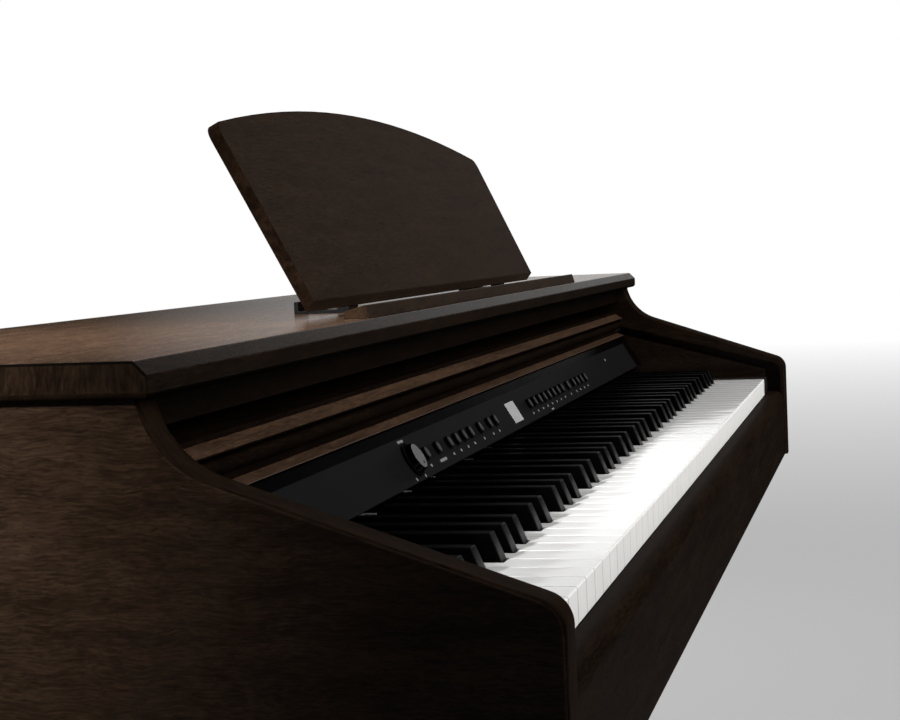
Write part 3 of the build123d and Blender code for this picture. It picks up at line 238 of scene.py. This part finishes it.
# Bolts: zinc-plated cap screws with a hexagon socket, sunk in the legs' outer faces.
# The plating is cloudy, with fine turning marks.
def screw_head(shape, centre, out, radius, height, socket, depth):
    """Adds a round head with a socket of the outline that the points give."""
    along = out.orthogonal().normalized()
    across = out.cross(along)
    sides = 24
    circle = [(cos(2 * pi * step / sides), sin(2 * pi * step / sides)) for step in range(sides)]
    wall, crown = 0.6 * height, 0.88 * radius
    levels = [
        ([(radius * u, radius * v) for u, v in circle], 0),
        ([(radius * u, radius * v) for u, v in circle], wall),
        ([(crown * u, crown * v) for u, v in circle], height),
        (socket, height),
        (socket, height - depth),
    ]
    loops = []
    for outline, level in levels:
        ring = [shape.verts.new(centre + along * u + across * v + out * level) for u, v in outline]
        loops.append([shape.edges.new((ring[step - 1], ring[step])) for step in range(len(ring))])
    for lower, upper in zip(loops, loops[1:]):
        bmesh.ops.bridge_loops(shape, edges=lower + upper)
    shape.faces.new(ring)


def zinc(name):
    """Zinc plating: a pale metal with cloudy patches and fine marks."""
    material, place, shader = new_finish(name)
    cloud = noise(place, 0.012, 3.0)
    marks = noise(place, 0.0006, 2.0, (0.1, 1, 1))
    join(shader, {
        "Base Color": blend(rise(cloud, 0.3, 0.7), (0.40, 0.40, 0.41, 1), (0.60, 0.60, 0.61, 1)),
        "Metallic": 1.0,
        "Roughness": marks * 0.15 + cloud * 0.15 + 0.18,
        "Normal": relief(marks, 0.00001),
    })
    return material


zinc_plate = zinc("zinc_plate")
head_radius, head_height = 0.0062, 0.0022
key_radius, key_depth = 0.0036, 0.0020
hexagon = [(key_radius * cos(pi * step / 3), key_radius * sin(pi * step / 3)) for step in range(6)]
bolts = eased("stand_bolts", 0.0003)
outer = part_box("stand_bolts")[1].x
head_faces = [face for face in bolts.faces
              if abs(face.calc_center_median().x) > outer - 0.0001 and abs(face.normal.x) > 0.99]
spots = [(face.calc_center_median(), Vector((1 if face.normal.x > 0 else -1, 0, 0)))
         for face in head_faces]
for centre, out in spots:
    screw_head(bolts, centre - out * head_height, out, head_radius, head_height, hexagon, key_depth)
bmesh.ops.delete(bolts, geom=head_faces, context="FACES_ONLY")
dress("stand_bolts", bolts, zinc_plate)

# Leg brackets: bent steel angles, plated like the bolts, that hold the case on the legs.
# Each leaf has two pan-head screws.
arm = 0.0011
quarter = [(arm, arm), (arm, 3 * arm), (-arm, 3 * arm)]
half = quarter + [(-arm, arm), (-3 * arm, arm), (-3 * arm, -arm)]
cross = half + [(-u, -v) for u, v in half]
wood_screw = (0.0045, 0.0022, cross, 0.0012)
thickness, along_leaf, from_end = 0.0030, 0.040, 0.025
brackets = eased("leg_brackets", 0.0004)
low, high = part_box("leg_brackets")
for side in (-1, 1):
    for y in (low.y + from_end, high.y - from_end):
        under_case = Vector((side * (high.x - along_leaf), y, high.z - thickness))
        beside_leg = Vector((side * (high.x - thickness), y, high.z - along_leaf))
        screw_head(brackets, under_case, Vector((0, 0, -1)), *wood_screw)
        screw_head(brackets, beside_leg, Vector((-side, 0, 0)), *wood_screw)
dress("leg_brackets", brackets, zinc_plate)

# Back board: one wide laminate board between the legs, on top of the pedal box.
# Its grain runs from side to side.
dress("stand_back_board", eased("stand_back_board", 0.0012), wood_x)

# Pedal box: laminate boards, open at the back, with a slot for each pedal.
# Its grain runs along it.
dress("pedal_box", eased("pedal_box", 0.0008), wood_x)


# Pedals: three cast brass levers, polished, that turn on a plain steel shaft.
# Use has left fine scratches along them.
def brass(name):
    """Polished brass with fine scratches and a little tarnish."""
    material, place, shader = new_finish(name)
    tarnish = rise(noise(place, 0.03, 3.0), 0.45, 0.75)
    scratch = noise(place, 0.0009, 3.0, (1, 0.06, 1))
    join(shader, {
        "Base Color": blend(tarnish, (0.74, 0.53, 0.22, 1), (0.60, 0.40, 0.15, 1)),
        "Metallic": 1.0,
        "Roughness": scratch * 0.16 + tarnish * 0.10 + 0.08,
        "Normal": relief(scratch, 0.00001),
    })
    return material


polished_brass = brass("polished_brass")
for side in ("left", "middle", "right"):
    dress(side + "_pedal", eased(side + "_pedal", 0.0010, 3), polished_brass)
dress("pedal_shaft", eased("pedal_shaft", 0.0004), zinc_plate)


# Adjuster: a black moulded screw foot under the pedal box, wound down to the floor.
# Moulded plastic has a fine spark-eroded grain.
def moulded(name, colour, roughness, grain_size=0.0005, depth=0.00001, shine=0.4):
    """Moulded plastic or sprayed paint with a fine grain."""
    material, place, shader = new_finish(name)
    pebble = noise(place, grain_size)
    cloud = noise(place, 0.05, 3.0)
    paler = [1.4 * part for part in colour]
    join(shader, {
        "Base Color": blend(rise(cloud * 0.6 + pebble * 0.4, 0.3, 0.7), (*colour, 1), (*paler, 1)),
        "Roughness": pebble * 0.12 + cloud * 0.10 + (roughness - 0.11),
        "Specular IOR Level": shine,
        "Normal": relief(pebble, depth),
    })
    return material


black_plastic = moulded("black_plastic", (0.010, 0.010, 0.010), 0.45)
dress("pedal_box_adjuster", eased("pedal_box_adjuster", 0.0006), black_plastic)

# Keybed: the floor of the case, a dark faced board with sound slots under the speakers.
# It lies on the leg brackets, screwed from below.
dark_board = moulded(
    "dark_board", (0.012, 0.009, 0.0075), 0.60, grain_size=0.0012, depth=0.00003, shine=0.2,
)
dress("keybed", eased("keybed", 0.0006), dark_board)


# Back panel: thin dark hardboard in the rear of the case.
# Zinc-plated screws hold it along its top and bottom.
def finish_added(shape, earlier):
    """Gives the second finish to the faces that were added to the earlier ones."""
    for face in set(shape.faces) - earlier:
        face.material_index = 1


panel_screw = (0.0042, 0.0020, cross, 0.0011)
sunk, from_edge = 0.0002, 0.010
backwards = Vector((0, 1, 0))
back = eased("back_panel", 0.0004)
board_faces = set(back.faces)
low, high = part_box("back_panel")
for share in (-0.97, -0.65, -0.33, 0.0, 0.33, 0.65, 0.97):
    for z in (low.z + from_edge, high.z - from_edge):
        screw_head(back, Vector((high.x * share, high.y - sunk, z)), backwards, *panel_screw)
finish_added(back, board_faces)
dress("back_panel", back, dark_board, zinc_plate)

# Rear plate: moulded black plastic with the recessed mains inlet and its two pins.
# A screw at each end holds it on the back panel.
plate_screw = (0.0038, 0.0018, cross, 0.0010)
pin_size = Matrix.Diagonal((0.0023, 0.009, 0.0023, 1))
pin_depth = 0.0120
plate = eased("rear_jack_plate", 0.0005)
plate_faces = set(plate.faces)
low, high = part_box("rear_jack_plate")
middle = (low + high) / 2
for offset in (-0.040, 0.040):
    spot = Vector((middle.x + offset, high.y - sunk, middle.z))
    screw_head(plate, spot, backwards, *plate_screw)
for offset in (-0.0045, 0.0045):
    spot = Vector((middle.x + offset, high.y - pin_depth, middle.z))
    bmesh.ops.create_cube(plate, size=1.0, matrix=Matrix.Translation(spot) @ pin_size)
finish_added(plate, plate_faces)
dress("rear_jack_plate", plate, black_plastic, zinc_plate)


# Inside the case: speakers with black baskets, green circuit boards and the black key frame.
# They show only through gaps, so the solids stay and get their finishes.
def lacquered_board(name):
    """A circuit board's green lacquer over its tracks."""
    material, place, shader = new_finish(name)
    tracks = place.node("TexBrick", {}, {
        "Vector": place, "Scale": 90.0, "Mortar Size": 0.03,
        "Color1": (0.012, 0.085, 0.035, 1), "Color2": (0.016, 0.105, 0.042, 1),
        "Mortar": (0.05, 0.16, 0.06, 1),
    })
    join(shader, {"Base Color": tracks, "Roughness": noise(place, 0.004) * 0.2 + 0.25})
    return material


green_board = lacquered_board("green_board")
for node, finish in (
    ("speakers", moulded("speaker_paint", (0.012, 0.012, 0.012), 0.40)),
    ("main_circuit_board", green_board),
    ("panel_circuit_board", green_board),
    ("key_frame", moulded("frame_plastic", (0.015, 0.015, 0.015), 0.55)),
    ("volume_pot", zinc_plate),
):
    frame["nodes"][node].data.materials[0] = finish

# Cheeks: the end boards, laminate on both faces with a smooth edge band round them, made darker as
# painted shade.
# The cover's tracks are routed in the inner faces.
for side in ("left", "right"):
    dress(side + "_cheek", banded(eased(side + "_cheek", 0.0005), 0), wood_y, wood_edge_band_painted_shade)

# Key slip and key blocks: a laminate rail in front of the keys, made darker as painted shade, and
# black blocks at their ends.
# The slip has a large rounded top edge.
long_grain = (0.02, 1, 1)
# The slip's laminate is darkened as painted shade.
wood_slip_painted_shade = rosewood("rosewood_slip_painted_shade", long_grain, tint=0.42, polish=0.01, rough=0.45)
block_black = moulded("block_black", (0.008, 0.007, 0.006), 0.45)
dress("key_slip", eased("key_slip", 0.0006), wood_slip_painted_shade)
dress("key_blocks", eased("key_blocks", 0.0008), block_black)


# White keys: moulded in glossy ivory-white plastic, each with eased edges.
# Fingers leave the gloss a little uneven.
def key_plastic(name, colour, roughness, shine):
    """Polished plastic with faint smears and fine lines along the key."""
    material, place, shader = new_finish(name)
    smear = noise(place, 0.03, 4.0)
    line = noise(place, 0.0008, 2.0, (1, 0.05, 1))
    darker = [0.95 * part for part in colour]
    join(shader, {
        "Base Color": blend(rise(smear, 0.35, 0.7), (*colour, 1), (*darker, 1)),
        "Roughness": smear * 0.08 + line * 0.04 + (roughness - 0.06),
        "Specular IOR Level": shine,
        "Normal": relief(line, 0.000001),
    })
    return material


ivory = key_plastic("ivory_key_plastic", (0.74, 0.735, 0.72), roughness=0.07, shine=0.3)
# The key fronts are paler and duller than the tops, as painted light.
ivory_front_painted_light = key_plastic("ivory_key_front_painted_light", (0.80, 0.79, 0.77), roughness=0.45, shine=0.1)
for letter in "abcdefg":
    keys = eased(letter + "_keys", 0.0006)
    for face in keys.faces:
        face.material_index = 1 if face.normal.y < -0.7 else 0
    dress(letter + "_keys", keys, ivory, ivory_front_painted_light)

# Black keys: satin black plastic, tapered, with a sloping front and rounded top edges.
# A faint grain runs along them.
ebony = key_plastic("ebony_key_plastic", (0.0008, 0.0008, 0.0008), roughness=0.38, shine=0.02)
# The sloping fronts are lighter grey than the tops, as painted light.
ebony_front_painted_light = key_plastic("ebony_key_front_painted_light", (0.0030, 0.0030, 0.0031), roughness=0.30, shine=0.15)
for letter in "acdfg":
    keys = eased(letter + "_sharp_keys", 0.0010, 3)
    for face in keys.faces:
        face.material_index = 1 if face.normal.y < -0.4 else 0
    dress(letter + "_sharp_keys", keys, ebony, ebony_front_painted_light)

# Key cover: a sliding laminate board behind a moulded front rail; plastic pins guide the ends.
# On the rail, a thin pale line along the lower lip is a painted highlight, the wide up-facing bands
# are lighter as painted light, and the rest is darker as painted shade.
dress("key_cover", eased("key_cover", 0.0006), wood_x)
dress("cover_guide_pins", eased("cover_guide_pins", 0.0004), black_plastic)
rail = eased("cover_rail", 0.0002)
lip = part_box("cover_rail")[0].z + 0.0011
band_area = 0.002
for face in rail.faces:
    if face.normal.y < -0.7 and face.calc_center_median().z < lip:
        face.material_index = 1
    elif face.normal.z > 0.5 and face.normal.y < -0.2 and face.calc_area() > band_area:
        face.material_index = 2
    else:
        face.material_index = 0
# Painted shade: the laminate made much darker, for faces that lie in shade.
wood_painted_shade = rosewood("rosewood_painted_shade", (grain, 1, 1), tint=0.25, polish=0.01, rough=0.45)
# Painted highlight: a pale line along the rail's lower lip.
lip_painted_highlight = moulded("lip_painted_highlight", (0.045, 0.028, 0.018), 0.5)
# Painted light: the laminate made much lighter, for the rail's up-facing bands.
wood_painted_light_band = rosewood("rosewood_rail_painted_light", long_grain, tint=2.6, polish=0.2)
dress("cover_rail", rail, wood_painted_shade, lip_painted_highlight, wood_painted_light_band)

# Control panel: a bent black plastic housing, glossy along its top edge.
# It covers the rear ends of the keys.
gloss_black = moulded(
    "gloss_black", (0.0006, 0.0006, 0.0006), 0.20, grain_size=0.002, depth=0.000003, shine=0.08,
)
dress("control_panel", eased("control_panel", 0.0006), gloss_black)


# Faceplate: a thin sheet painted charcoal, with short white printed marks under the buttons.
# The marks are plain bars and dots, and a small pale display window is let in among them.
def charcoal_paint(name):
    """Fine flecked charcoal paint."""
    material, place, shader = new_finish(name)
    fleck = noise(place, 0.0005, 2.0)
    cloud = noise(place, 0.06, 3.0)
    shade = rise(fleck * 0.7 + cloud * 0.3, 0.3, 0.7)
    join(shader, {
        "Base Color": blend(shade, (0.0034, 0.0034, 0.0035, 1), (0.0070, 0.0070, 0.0072, 1)),
        "Roughness": fleck * 0.12 + 0.36,
        "Specular IOR Level": 0.08,
        "Normal": relief(fleck, 0.000006),
    })
    return material


dress("panel_faceplate", eased("panel_faceplate", 0.0002), charcoal_paint("charcoal_paint"))
slope = radians(58.9)
panel_foot = Vector((0, -0.059, 0.7565))
panel_up = Vector((0, cos(slope), sin(slope)))
panel_out = Vector((0, -sin(slope), cos(slope)))
turned = Matrix((Vector((1, 0, 0)), panel_up, panel_out)).transposed().to_4x4()


def on_panel(x, up, out):
    """A point that is up along the panel's face from its foot, and out from it."""
    return panel_foot + Vector((x, 0, 0)) + panel_up * up + panel_out * out


button_line = [-0.266, -0.207, -0.187, -0.167, -0.147, -0.118, -0.089, -0.069]
button_line += [0.226, 0.254, 0.274, 0.294, 0.314]
button_line += [0.057 + 0.020 * step for step in range(8)]
bars = [(x, 0.0062, 0.0036, 0.0019) for x in button_line] + [
    (-0.236, 0.0060, 0.0160, 0.0021), (-0.297, 0.0281, 0.0120, 0.0018),
    (0.127, 0.0021, 0.0090, 0.0014), (-0.3085, 0.0025, 0.0026, 0.0020),
    (-0.2885, 0.0022, 0.0026, 0.0020), (0.465, 0.0216, 0.0050, 0.0026),
]
print_level, print_thickness = 0.00103, 0.0001
marks = bmesh.new()
for x, up, width, height in bars:
    size = Matrix.Diagonal((width, height, print_thickness, 1))
    placed = Matrix.Translation(on_panel(x, up, print_level)) @ turned @ size
    bmesh.ops.create_cube(marks, size=1.0, matrix=placed)
corners = [edge for edge in marks.edges
           if abs((edge.verts[0].co - edge.verts[1].co).dot(panel_out)) > print_thickness / 2]
bmesh.ops.bevel(
    marks, geom=corners, offset=0.0006, offset_type="OFFSET", segments=3,
    profile=0.5, affect="EDGES", material=-1,
)
white_print = moulded("white_print", (0.13, 0.13, 0.13), 0.5)
piece("panel_marks", marks, [white_print], "case_and_stand")
display_grey = moulded("display_grey", (0.30, 0.30, 0.30), 0.22)
dress("display_window", eased("display_window", 0.0002), display_grey)

# Buttons: oval black caps in one row, with a narrowed grey face painted on as a highlight.
# They press straight in.
button_side = moulded("button_side", (0.0022, 0.0022, 0.0022), 0.35, shine=0.2)
button_face_painted_highlight = moulded("button_face_painted_highlight", (0.036, 0.036, 0.037), 0.40)
buttons = ("power_button", "demo_button", "song_buttons", "metronome_button", "tempo_buttons",
           "tone_buttons", "split_button", "setting_buttons")
level, rim_depth, rim_drop = 0.00001, 0.0004, 0.0005
narrowed = Vector((0.55, 0.85, 0.85))
for name in buttons:
    caps = eased(name, 0.0002)
    top = max(vert.co.dot(panel_out) for vert in caps.verts)
    # The top faces are narrowed and painted grey as a highlight.
    highlight_crowns = [face for face in caps.faces
              if face.calc_center_median().dot(panel_out) > top - level]
    for vert in caps.verts:
        if level < top - vert.co.dot(panel_out) < rim_depth:
            vert.co -= panel_out * rim_drop
    for face in highlight_crowns:
        face.material_index = 1
        middle = face.calc_center_median()
        for vert in face.verts:
            vert.co = middle + (vert.co - middle) * narrowed
    dress(name, caps, button_side, button_face_painted_highlight)

# Volume knob: glossy black with a wide foot and a flat grey cap with one small dimple, drawn as a
# flat black disc of painted shade.
# It turns on the shaft of a control behind the panel.
dress("volume_knob", eased("volume_knob", 0.0003), gloss_black)
cap = eased("knob_cap", 0.0002)
cap_faces = set(cap.faces)
cap_top = max(vert.co.dot(panel_out) for vert in cap.verts) - panel_foot.dot(panel_out)
dimple_radius, dimple_sunk = 0.0011, 0.00003
dimple = Matrix.Translation(on_panel(-0.2955, 0.0096, cap_top - dimple_sunk)) @ turned
bmesh.ops.create_cone(
    cap, cap_ends=True, segments=24, radius1=dimple_radius, radius2=dimple_radius,
    depth=0.0001, matrix=dimple,
)
finish_added(cap, cap_faces)
cap_grey = moulded("cap_grey", (0.085, 0.085, 0.085), 0.35)
dimple_painted_shade = moulded("dimple_painted_shade", (0.001, 0.001, 0.001), 0.6, shine=0.0)
dress("knob_cap", cap, cap_grey, dimple_painted_shade)

# Upper front panel: the plain strip under the lid, above the slot of the key cover.
# It is laminate like the rail, darkened as painted shade where the lid shades it, and stands
# between the cheeks.
dress("upper_front_panel", eased("upper_front_panel", 0.0008), wood_painted_shade)

# Lid: one laminate board, bevelled along its front, its grain running along it.
# A band with upright grain closes each end, let in a little behind a seam painted black as shade.
# The top is painted lighter as light; the bevel, front and end bands are painted darker as shade.
lid_top_painted_light = rosewood("rosewood_lid_top_painted_light", (grain, 1, 1), tint=3.7, polish=0.45, rough=0.13)
lid_end_painted_shade = rosewood("rosewood_end_band_painted_shade", (1, 0.6, 0.10), tint=0.60, polish=0.10)
seam_painted_shade = moulded("seam_painted_shade", (0.002, 0.0016, 0.0013), 0.6, shine=0.0)
lid_front_painted_shade = rosewood("rosewood_lid_front_painted_shade", (grain, 1, 1), tint=0.40, polish=0.02, rough=0.35)
lid_bevel_painted_shade = rosewood("rosewood_lid_bevel_painted_shade", (grain, 1, 1), tint=0.55, polish=0.25, rough=0.12)
lid_finishes = [lid_top_painted_light, lid_end_painted_shade, seam_painted_shade, lid_front_painted_shade, lid_bevel_painted_shade]
lid = eased("top_lid", 0.0006)
# The rims along the top of each end and under the front edge are painted black as shade.
for face in lid.faces:
    end_rim = abs(face.normal.x) > 0.3 and face.normal.z > 0.2
    lower_rim = face.normal.y < -0.2 and face.normal.z < -0.2
    if end_rim or lower_rim:
        finish = seam_painted_shade
    elif face.normal.z > 0.9:
        finish = lid_top_painted_light
    elif face.normal.z > 0.3:
        finish = lid_bevel_painted_shade
    else:
        finish = lid_front_painted_shade
    face.material_index = lid_finishes.index(finish)
seam_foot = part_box("top_lid")[1].z - 0.0070
seam_back = 0.2
seam_width = 0.0006
end_area = 0.002
ends = [face for face in lid.faces if abs(face.normal.x) > 0.99 and face.calc_area() > end_area]
for end in ends:
    for finish, depth in ((seam_painted_shade, -0.0005), (lid_end_painted_shade, 0.0004)):
        rim = bmesh.ops.inset_region(lid, faces=[end], thickness=seam_width, depth=depth)["faces"]
        for face in rim:
            face.material_index = lid_finishes.index(finish)
        for vert in end.verts:
            if vert.co.z < seam_foot or vert.co.y > seam_back:
                beyond = [edge.other_vert(vert) for edge in vert.link_edges]
                vert.co = [other.co for other in beyond if other not in end.verts][0]
    end.material_index = lid_finishes.index(lid_end_painted_shade)
bmesh.ops.remove_doubles(lid, verts=lid.verts, dist=0.00001)
dress("top_lid", lid, *lid_finishes)

# Music rest: an arched laminate board, with the wedge-shaped ledge that stops the books.
# It folds back on two black hinges, and a stay behind it holds it up.
wood_rest = rosewood("rosewood_rest", long_grain, tint=0.90, polish=0.07, rough=0.30, figuring=0.6)
rest = eased("music_rest", 0.0002)
# The ends and top edge take the darker edge band and the bottom face the darkened laminate, both
# painted shade.
for face in rest.faces:
    if abs(face.normal.y) > 0.7:
        face.material_index = 0
    else:
        face.material_index = 2 if face.normal.z < -0.5 else 1
dress("music_rest", rest, wood_rest, wood_edge_band_painted_shade, wood_painted_shade)
dress("music_ledge", eased("music_ledge", 0.0005), wood_x)
black_metal = moulded("black_metal", (0.006, 0.006, 0.006), 0.45)
small_cross = [(0.75 * u, 0.75 * v) for u, v in cross]
hinge_screw = (0.0036, 0.0016, small_cross, 0.0009)
hinges = eased("rest_hinge_brackets", 0.0003)
hinge_faces = set(hinges.faces)
low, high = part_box("rest_hinge_brackets")
for side in (-1, 1):
    spot = Vector((side * (high.x - 0.0104), low.y + 0.022, low.z + 0.0019))
    screw_head(hinges, spot, Vector((0, 0, 1)), *hinge_screw)
finish_added(hinges, hinge_faces)
dress("rest_hinge_brackets", hinges, black_metal, zinc_plate)
dress("rest_hinge_leaves", eased("rest_hinge_leaves", 0.0003), black_metal)
dress("rest_stay", eased("rest_stay", 0.0003), black_metal)


# Floor: a wide sheet of pale paper under the piano, which fades to white far from it.
# It is matt, and it takes the piano's soft shadow.
def ray_kinds(wire):
    """Three shares, each 0 or 1: rays from the camera, from a gloss and through glass."""
    kinds = ("Is Camera Ray", "Is Glossy Ray", "Is Transmission Ray")
    return [wire.node("LightPath", {}, {}, out=kind) for kind in kinds]


def ramp_along(vector, axis, low, high):
    """Goes from 0 to 1 as one part of a vector goes from low to high."""
    return rise(vector.node("SeparateXYZ", {}, {0: vector}, out=axis), low, high)


def paper(name, colour, near, far):
    """Pale paper that turns to plain white between two distances from the middle."""
    material, place, shader = new_finish(name)
    tree = material.node_tree
    reach = place.node("VectorMath", {"operation": "LENGTH"}, {0: place}, out="Value")
    seen, mirrored, through = ray_kinds(place)
    white = place.node("Emission", {}, {"Color": (1, 1, 1, 1)})
    join(shader, {"Base Color": (*colour, 1), "Roughness": 0.9, "Specular IOR Level": 0.1})
    away = ramp_along(place, "X", 0.0, 5.0) * ramp_along(place, "Y", -0.5, 2.0)
    share = (seen + through + mirrored * away) * rise(reach, near, far)
    mixed = place.node("MixShader", {}, {0: share, 1: Wire(tree, shader.outputs[0]), 2: white})
    tree.links.new(mixed.socket, tree.nodes["Material Output"].inputs[0])
    return material


sheet = bmesh.new()
bmesh.ops.create_circle(sheet, cap_ends=True, radius=60.0, segments=96)
floor_mesh = bpy.data.meshes.new("studio_floor")
sheet.to_mesh(floor_mesh)
sheet.free()
floor_mesh.materials.append(paper("pale_paper", (0.20, 0.20, 0.20), near=-3.0, far=13.0))
floor = bpy.data.objects.new("studio_floor", floor_mesh)
bpy.context.scene.collection.objects.link(floor)

# Room: white walls, dimmer in the gloss of the piano, brightest beyond the high keys.
# Little of their light reaches the piano itself, which the lamps light.
world = bpy.data.worlds.new("studio")
bpy.context.scene.world = world
world.use_nodes = True
room = Wire(world.node_tree)
heading = room.node("TexCoord", {}, {}, out="Generated")
beyond_keys = (ramp_along(heading, "X", 0.4, 0.97) * ramp_along(heading, "Y", -0.15, 0.12)
               * ramp_along(heading, "Y", 0.43, 0.22) * ramp_along(heading, "Z", 0.45, 0.05))
endways = room.node("SeparateXYZ", {}, {0: heading}, out="X")
across = rise(endways * endways, 0.72, 0.20)
in_gloss = beyond_keys + across * 0.45 + 0.006
ambient = 0.10
seen, mirrored, through = ray_kinds(room)
direct = seen + through
strength = direct + mirrored * in_gloss + (1 - direct - mirrored) * ambient
join(world.node_tree.nodes["Background"], {"Color": (1, 1, 1, 1), "Strength": strength})


# Lamps: large softboxes in front, behind and at the right end, and a narrow lamp at the left.
# The gloss doesn't mirror them.
def hang(lamp, place, target, power):
    """Hangs a lamp at a place, looking at a target."""
    lamp.energy = power
    holder = bpy.data.objects.new(lamp.name, lamp)
    turn = (Vector(target) - Vector(place)).to_track_quat("-Z", "Y").to_matrix().to_4x4()
    holder.matrix_world = Matrix.Translation(place) @ turn
    holder.visible_camera = False
    holder.visible_glossy = False
    bpy.context.scene.collection.objects.link(holder)


for name, size, place, target, power in (
    ("lamp_front", 2.0, (0.2, -2.0, 2.25), (0.1, -0.1, 0.75), 84),
    ("lamp_back", 2.0, (0.3, 2.7, 2.1), (0.1, 0.1, 0.6), 90),
    ("lamp_right", 1.4, (2.6, 0.9, 1.9), (0.6, 0.1, 0.6), 45),
):
    softbox = bpy.data.lights.new(name, "AREA")
    softbox.size = size
    hang(softbox, place, target, power)
narrow_lamp = bpy.data.lights.new("lamp_side", "SPOT")
narrow_lamp.spot_size = radians(13.5)
narrow_lamp.spot_blend = 1.0
narrow_lamp.shadow_soft_size = 0.12
hang(narrow_lamp, (-2.2, 0.9, 1.9), (-0.675, 0.20, 0.93), 1250)

# Camera: beyond the low end of the keyboard, just over the lid.
# It looks along the keys, a little down, and leans to one side.
station = Vector((-1.3489, -0.3505, 0.9018))
yaw, pitch, roll = radians(14.439), radians(-3.725), radians(-2.514)
look = Vector((cos(yaw) * cos(pitch), sin(yaw) * cos(pitch), sin(pitch)))
level_right = look.cross(Vector((0, 0, 1))).normalized()
level_up = level_right.cross(look)
right = cos(roll) * level_right + sin(roll) * level_up
up = cos(roll) * level_up - sin(roll) * level_right
lens = bpy.data.cameras.new("camera")
lens.sensor_width = 36.0
lens.lens = 71.09
lens.clip_end = 200.0
camera = bpy.data.objects.new("camera", lens)
turn = Matrix((right, up, -look)).transposed().to_4x4()
camera.matrix_world = Matrix.Translation(station) @ turn
bpy.context.scene.collection.objects.link(camera)
bpy.context.scene.camera = camera
bpy.context.scene.view_settings.view_transform = "Standard"
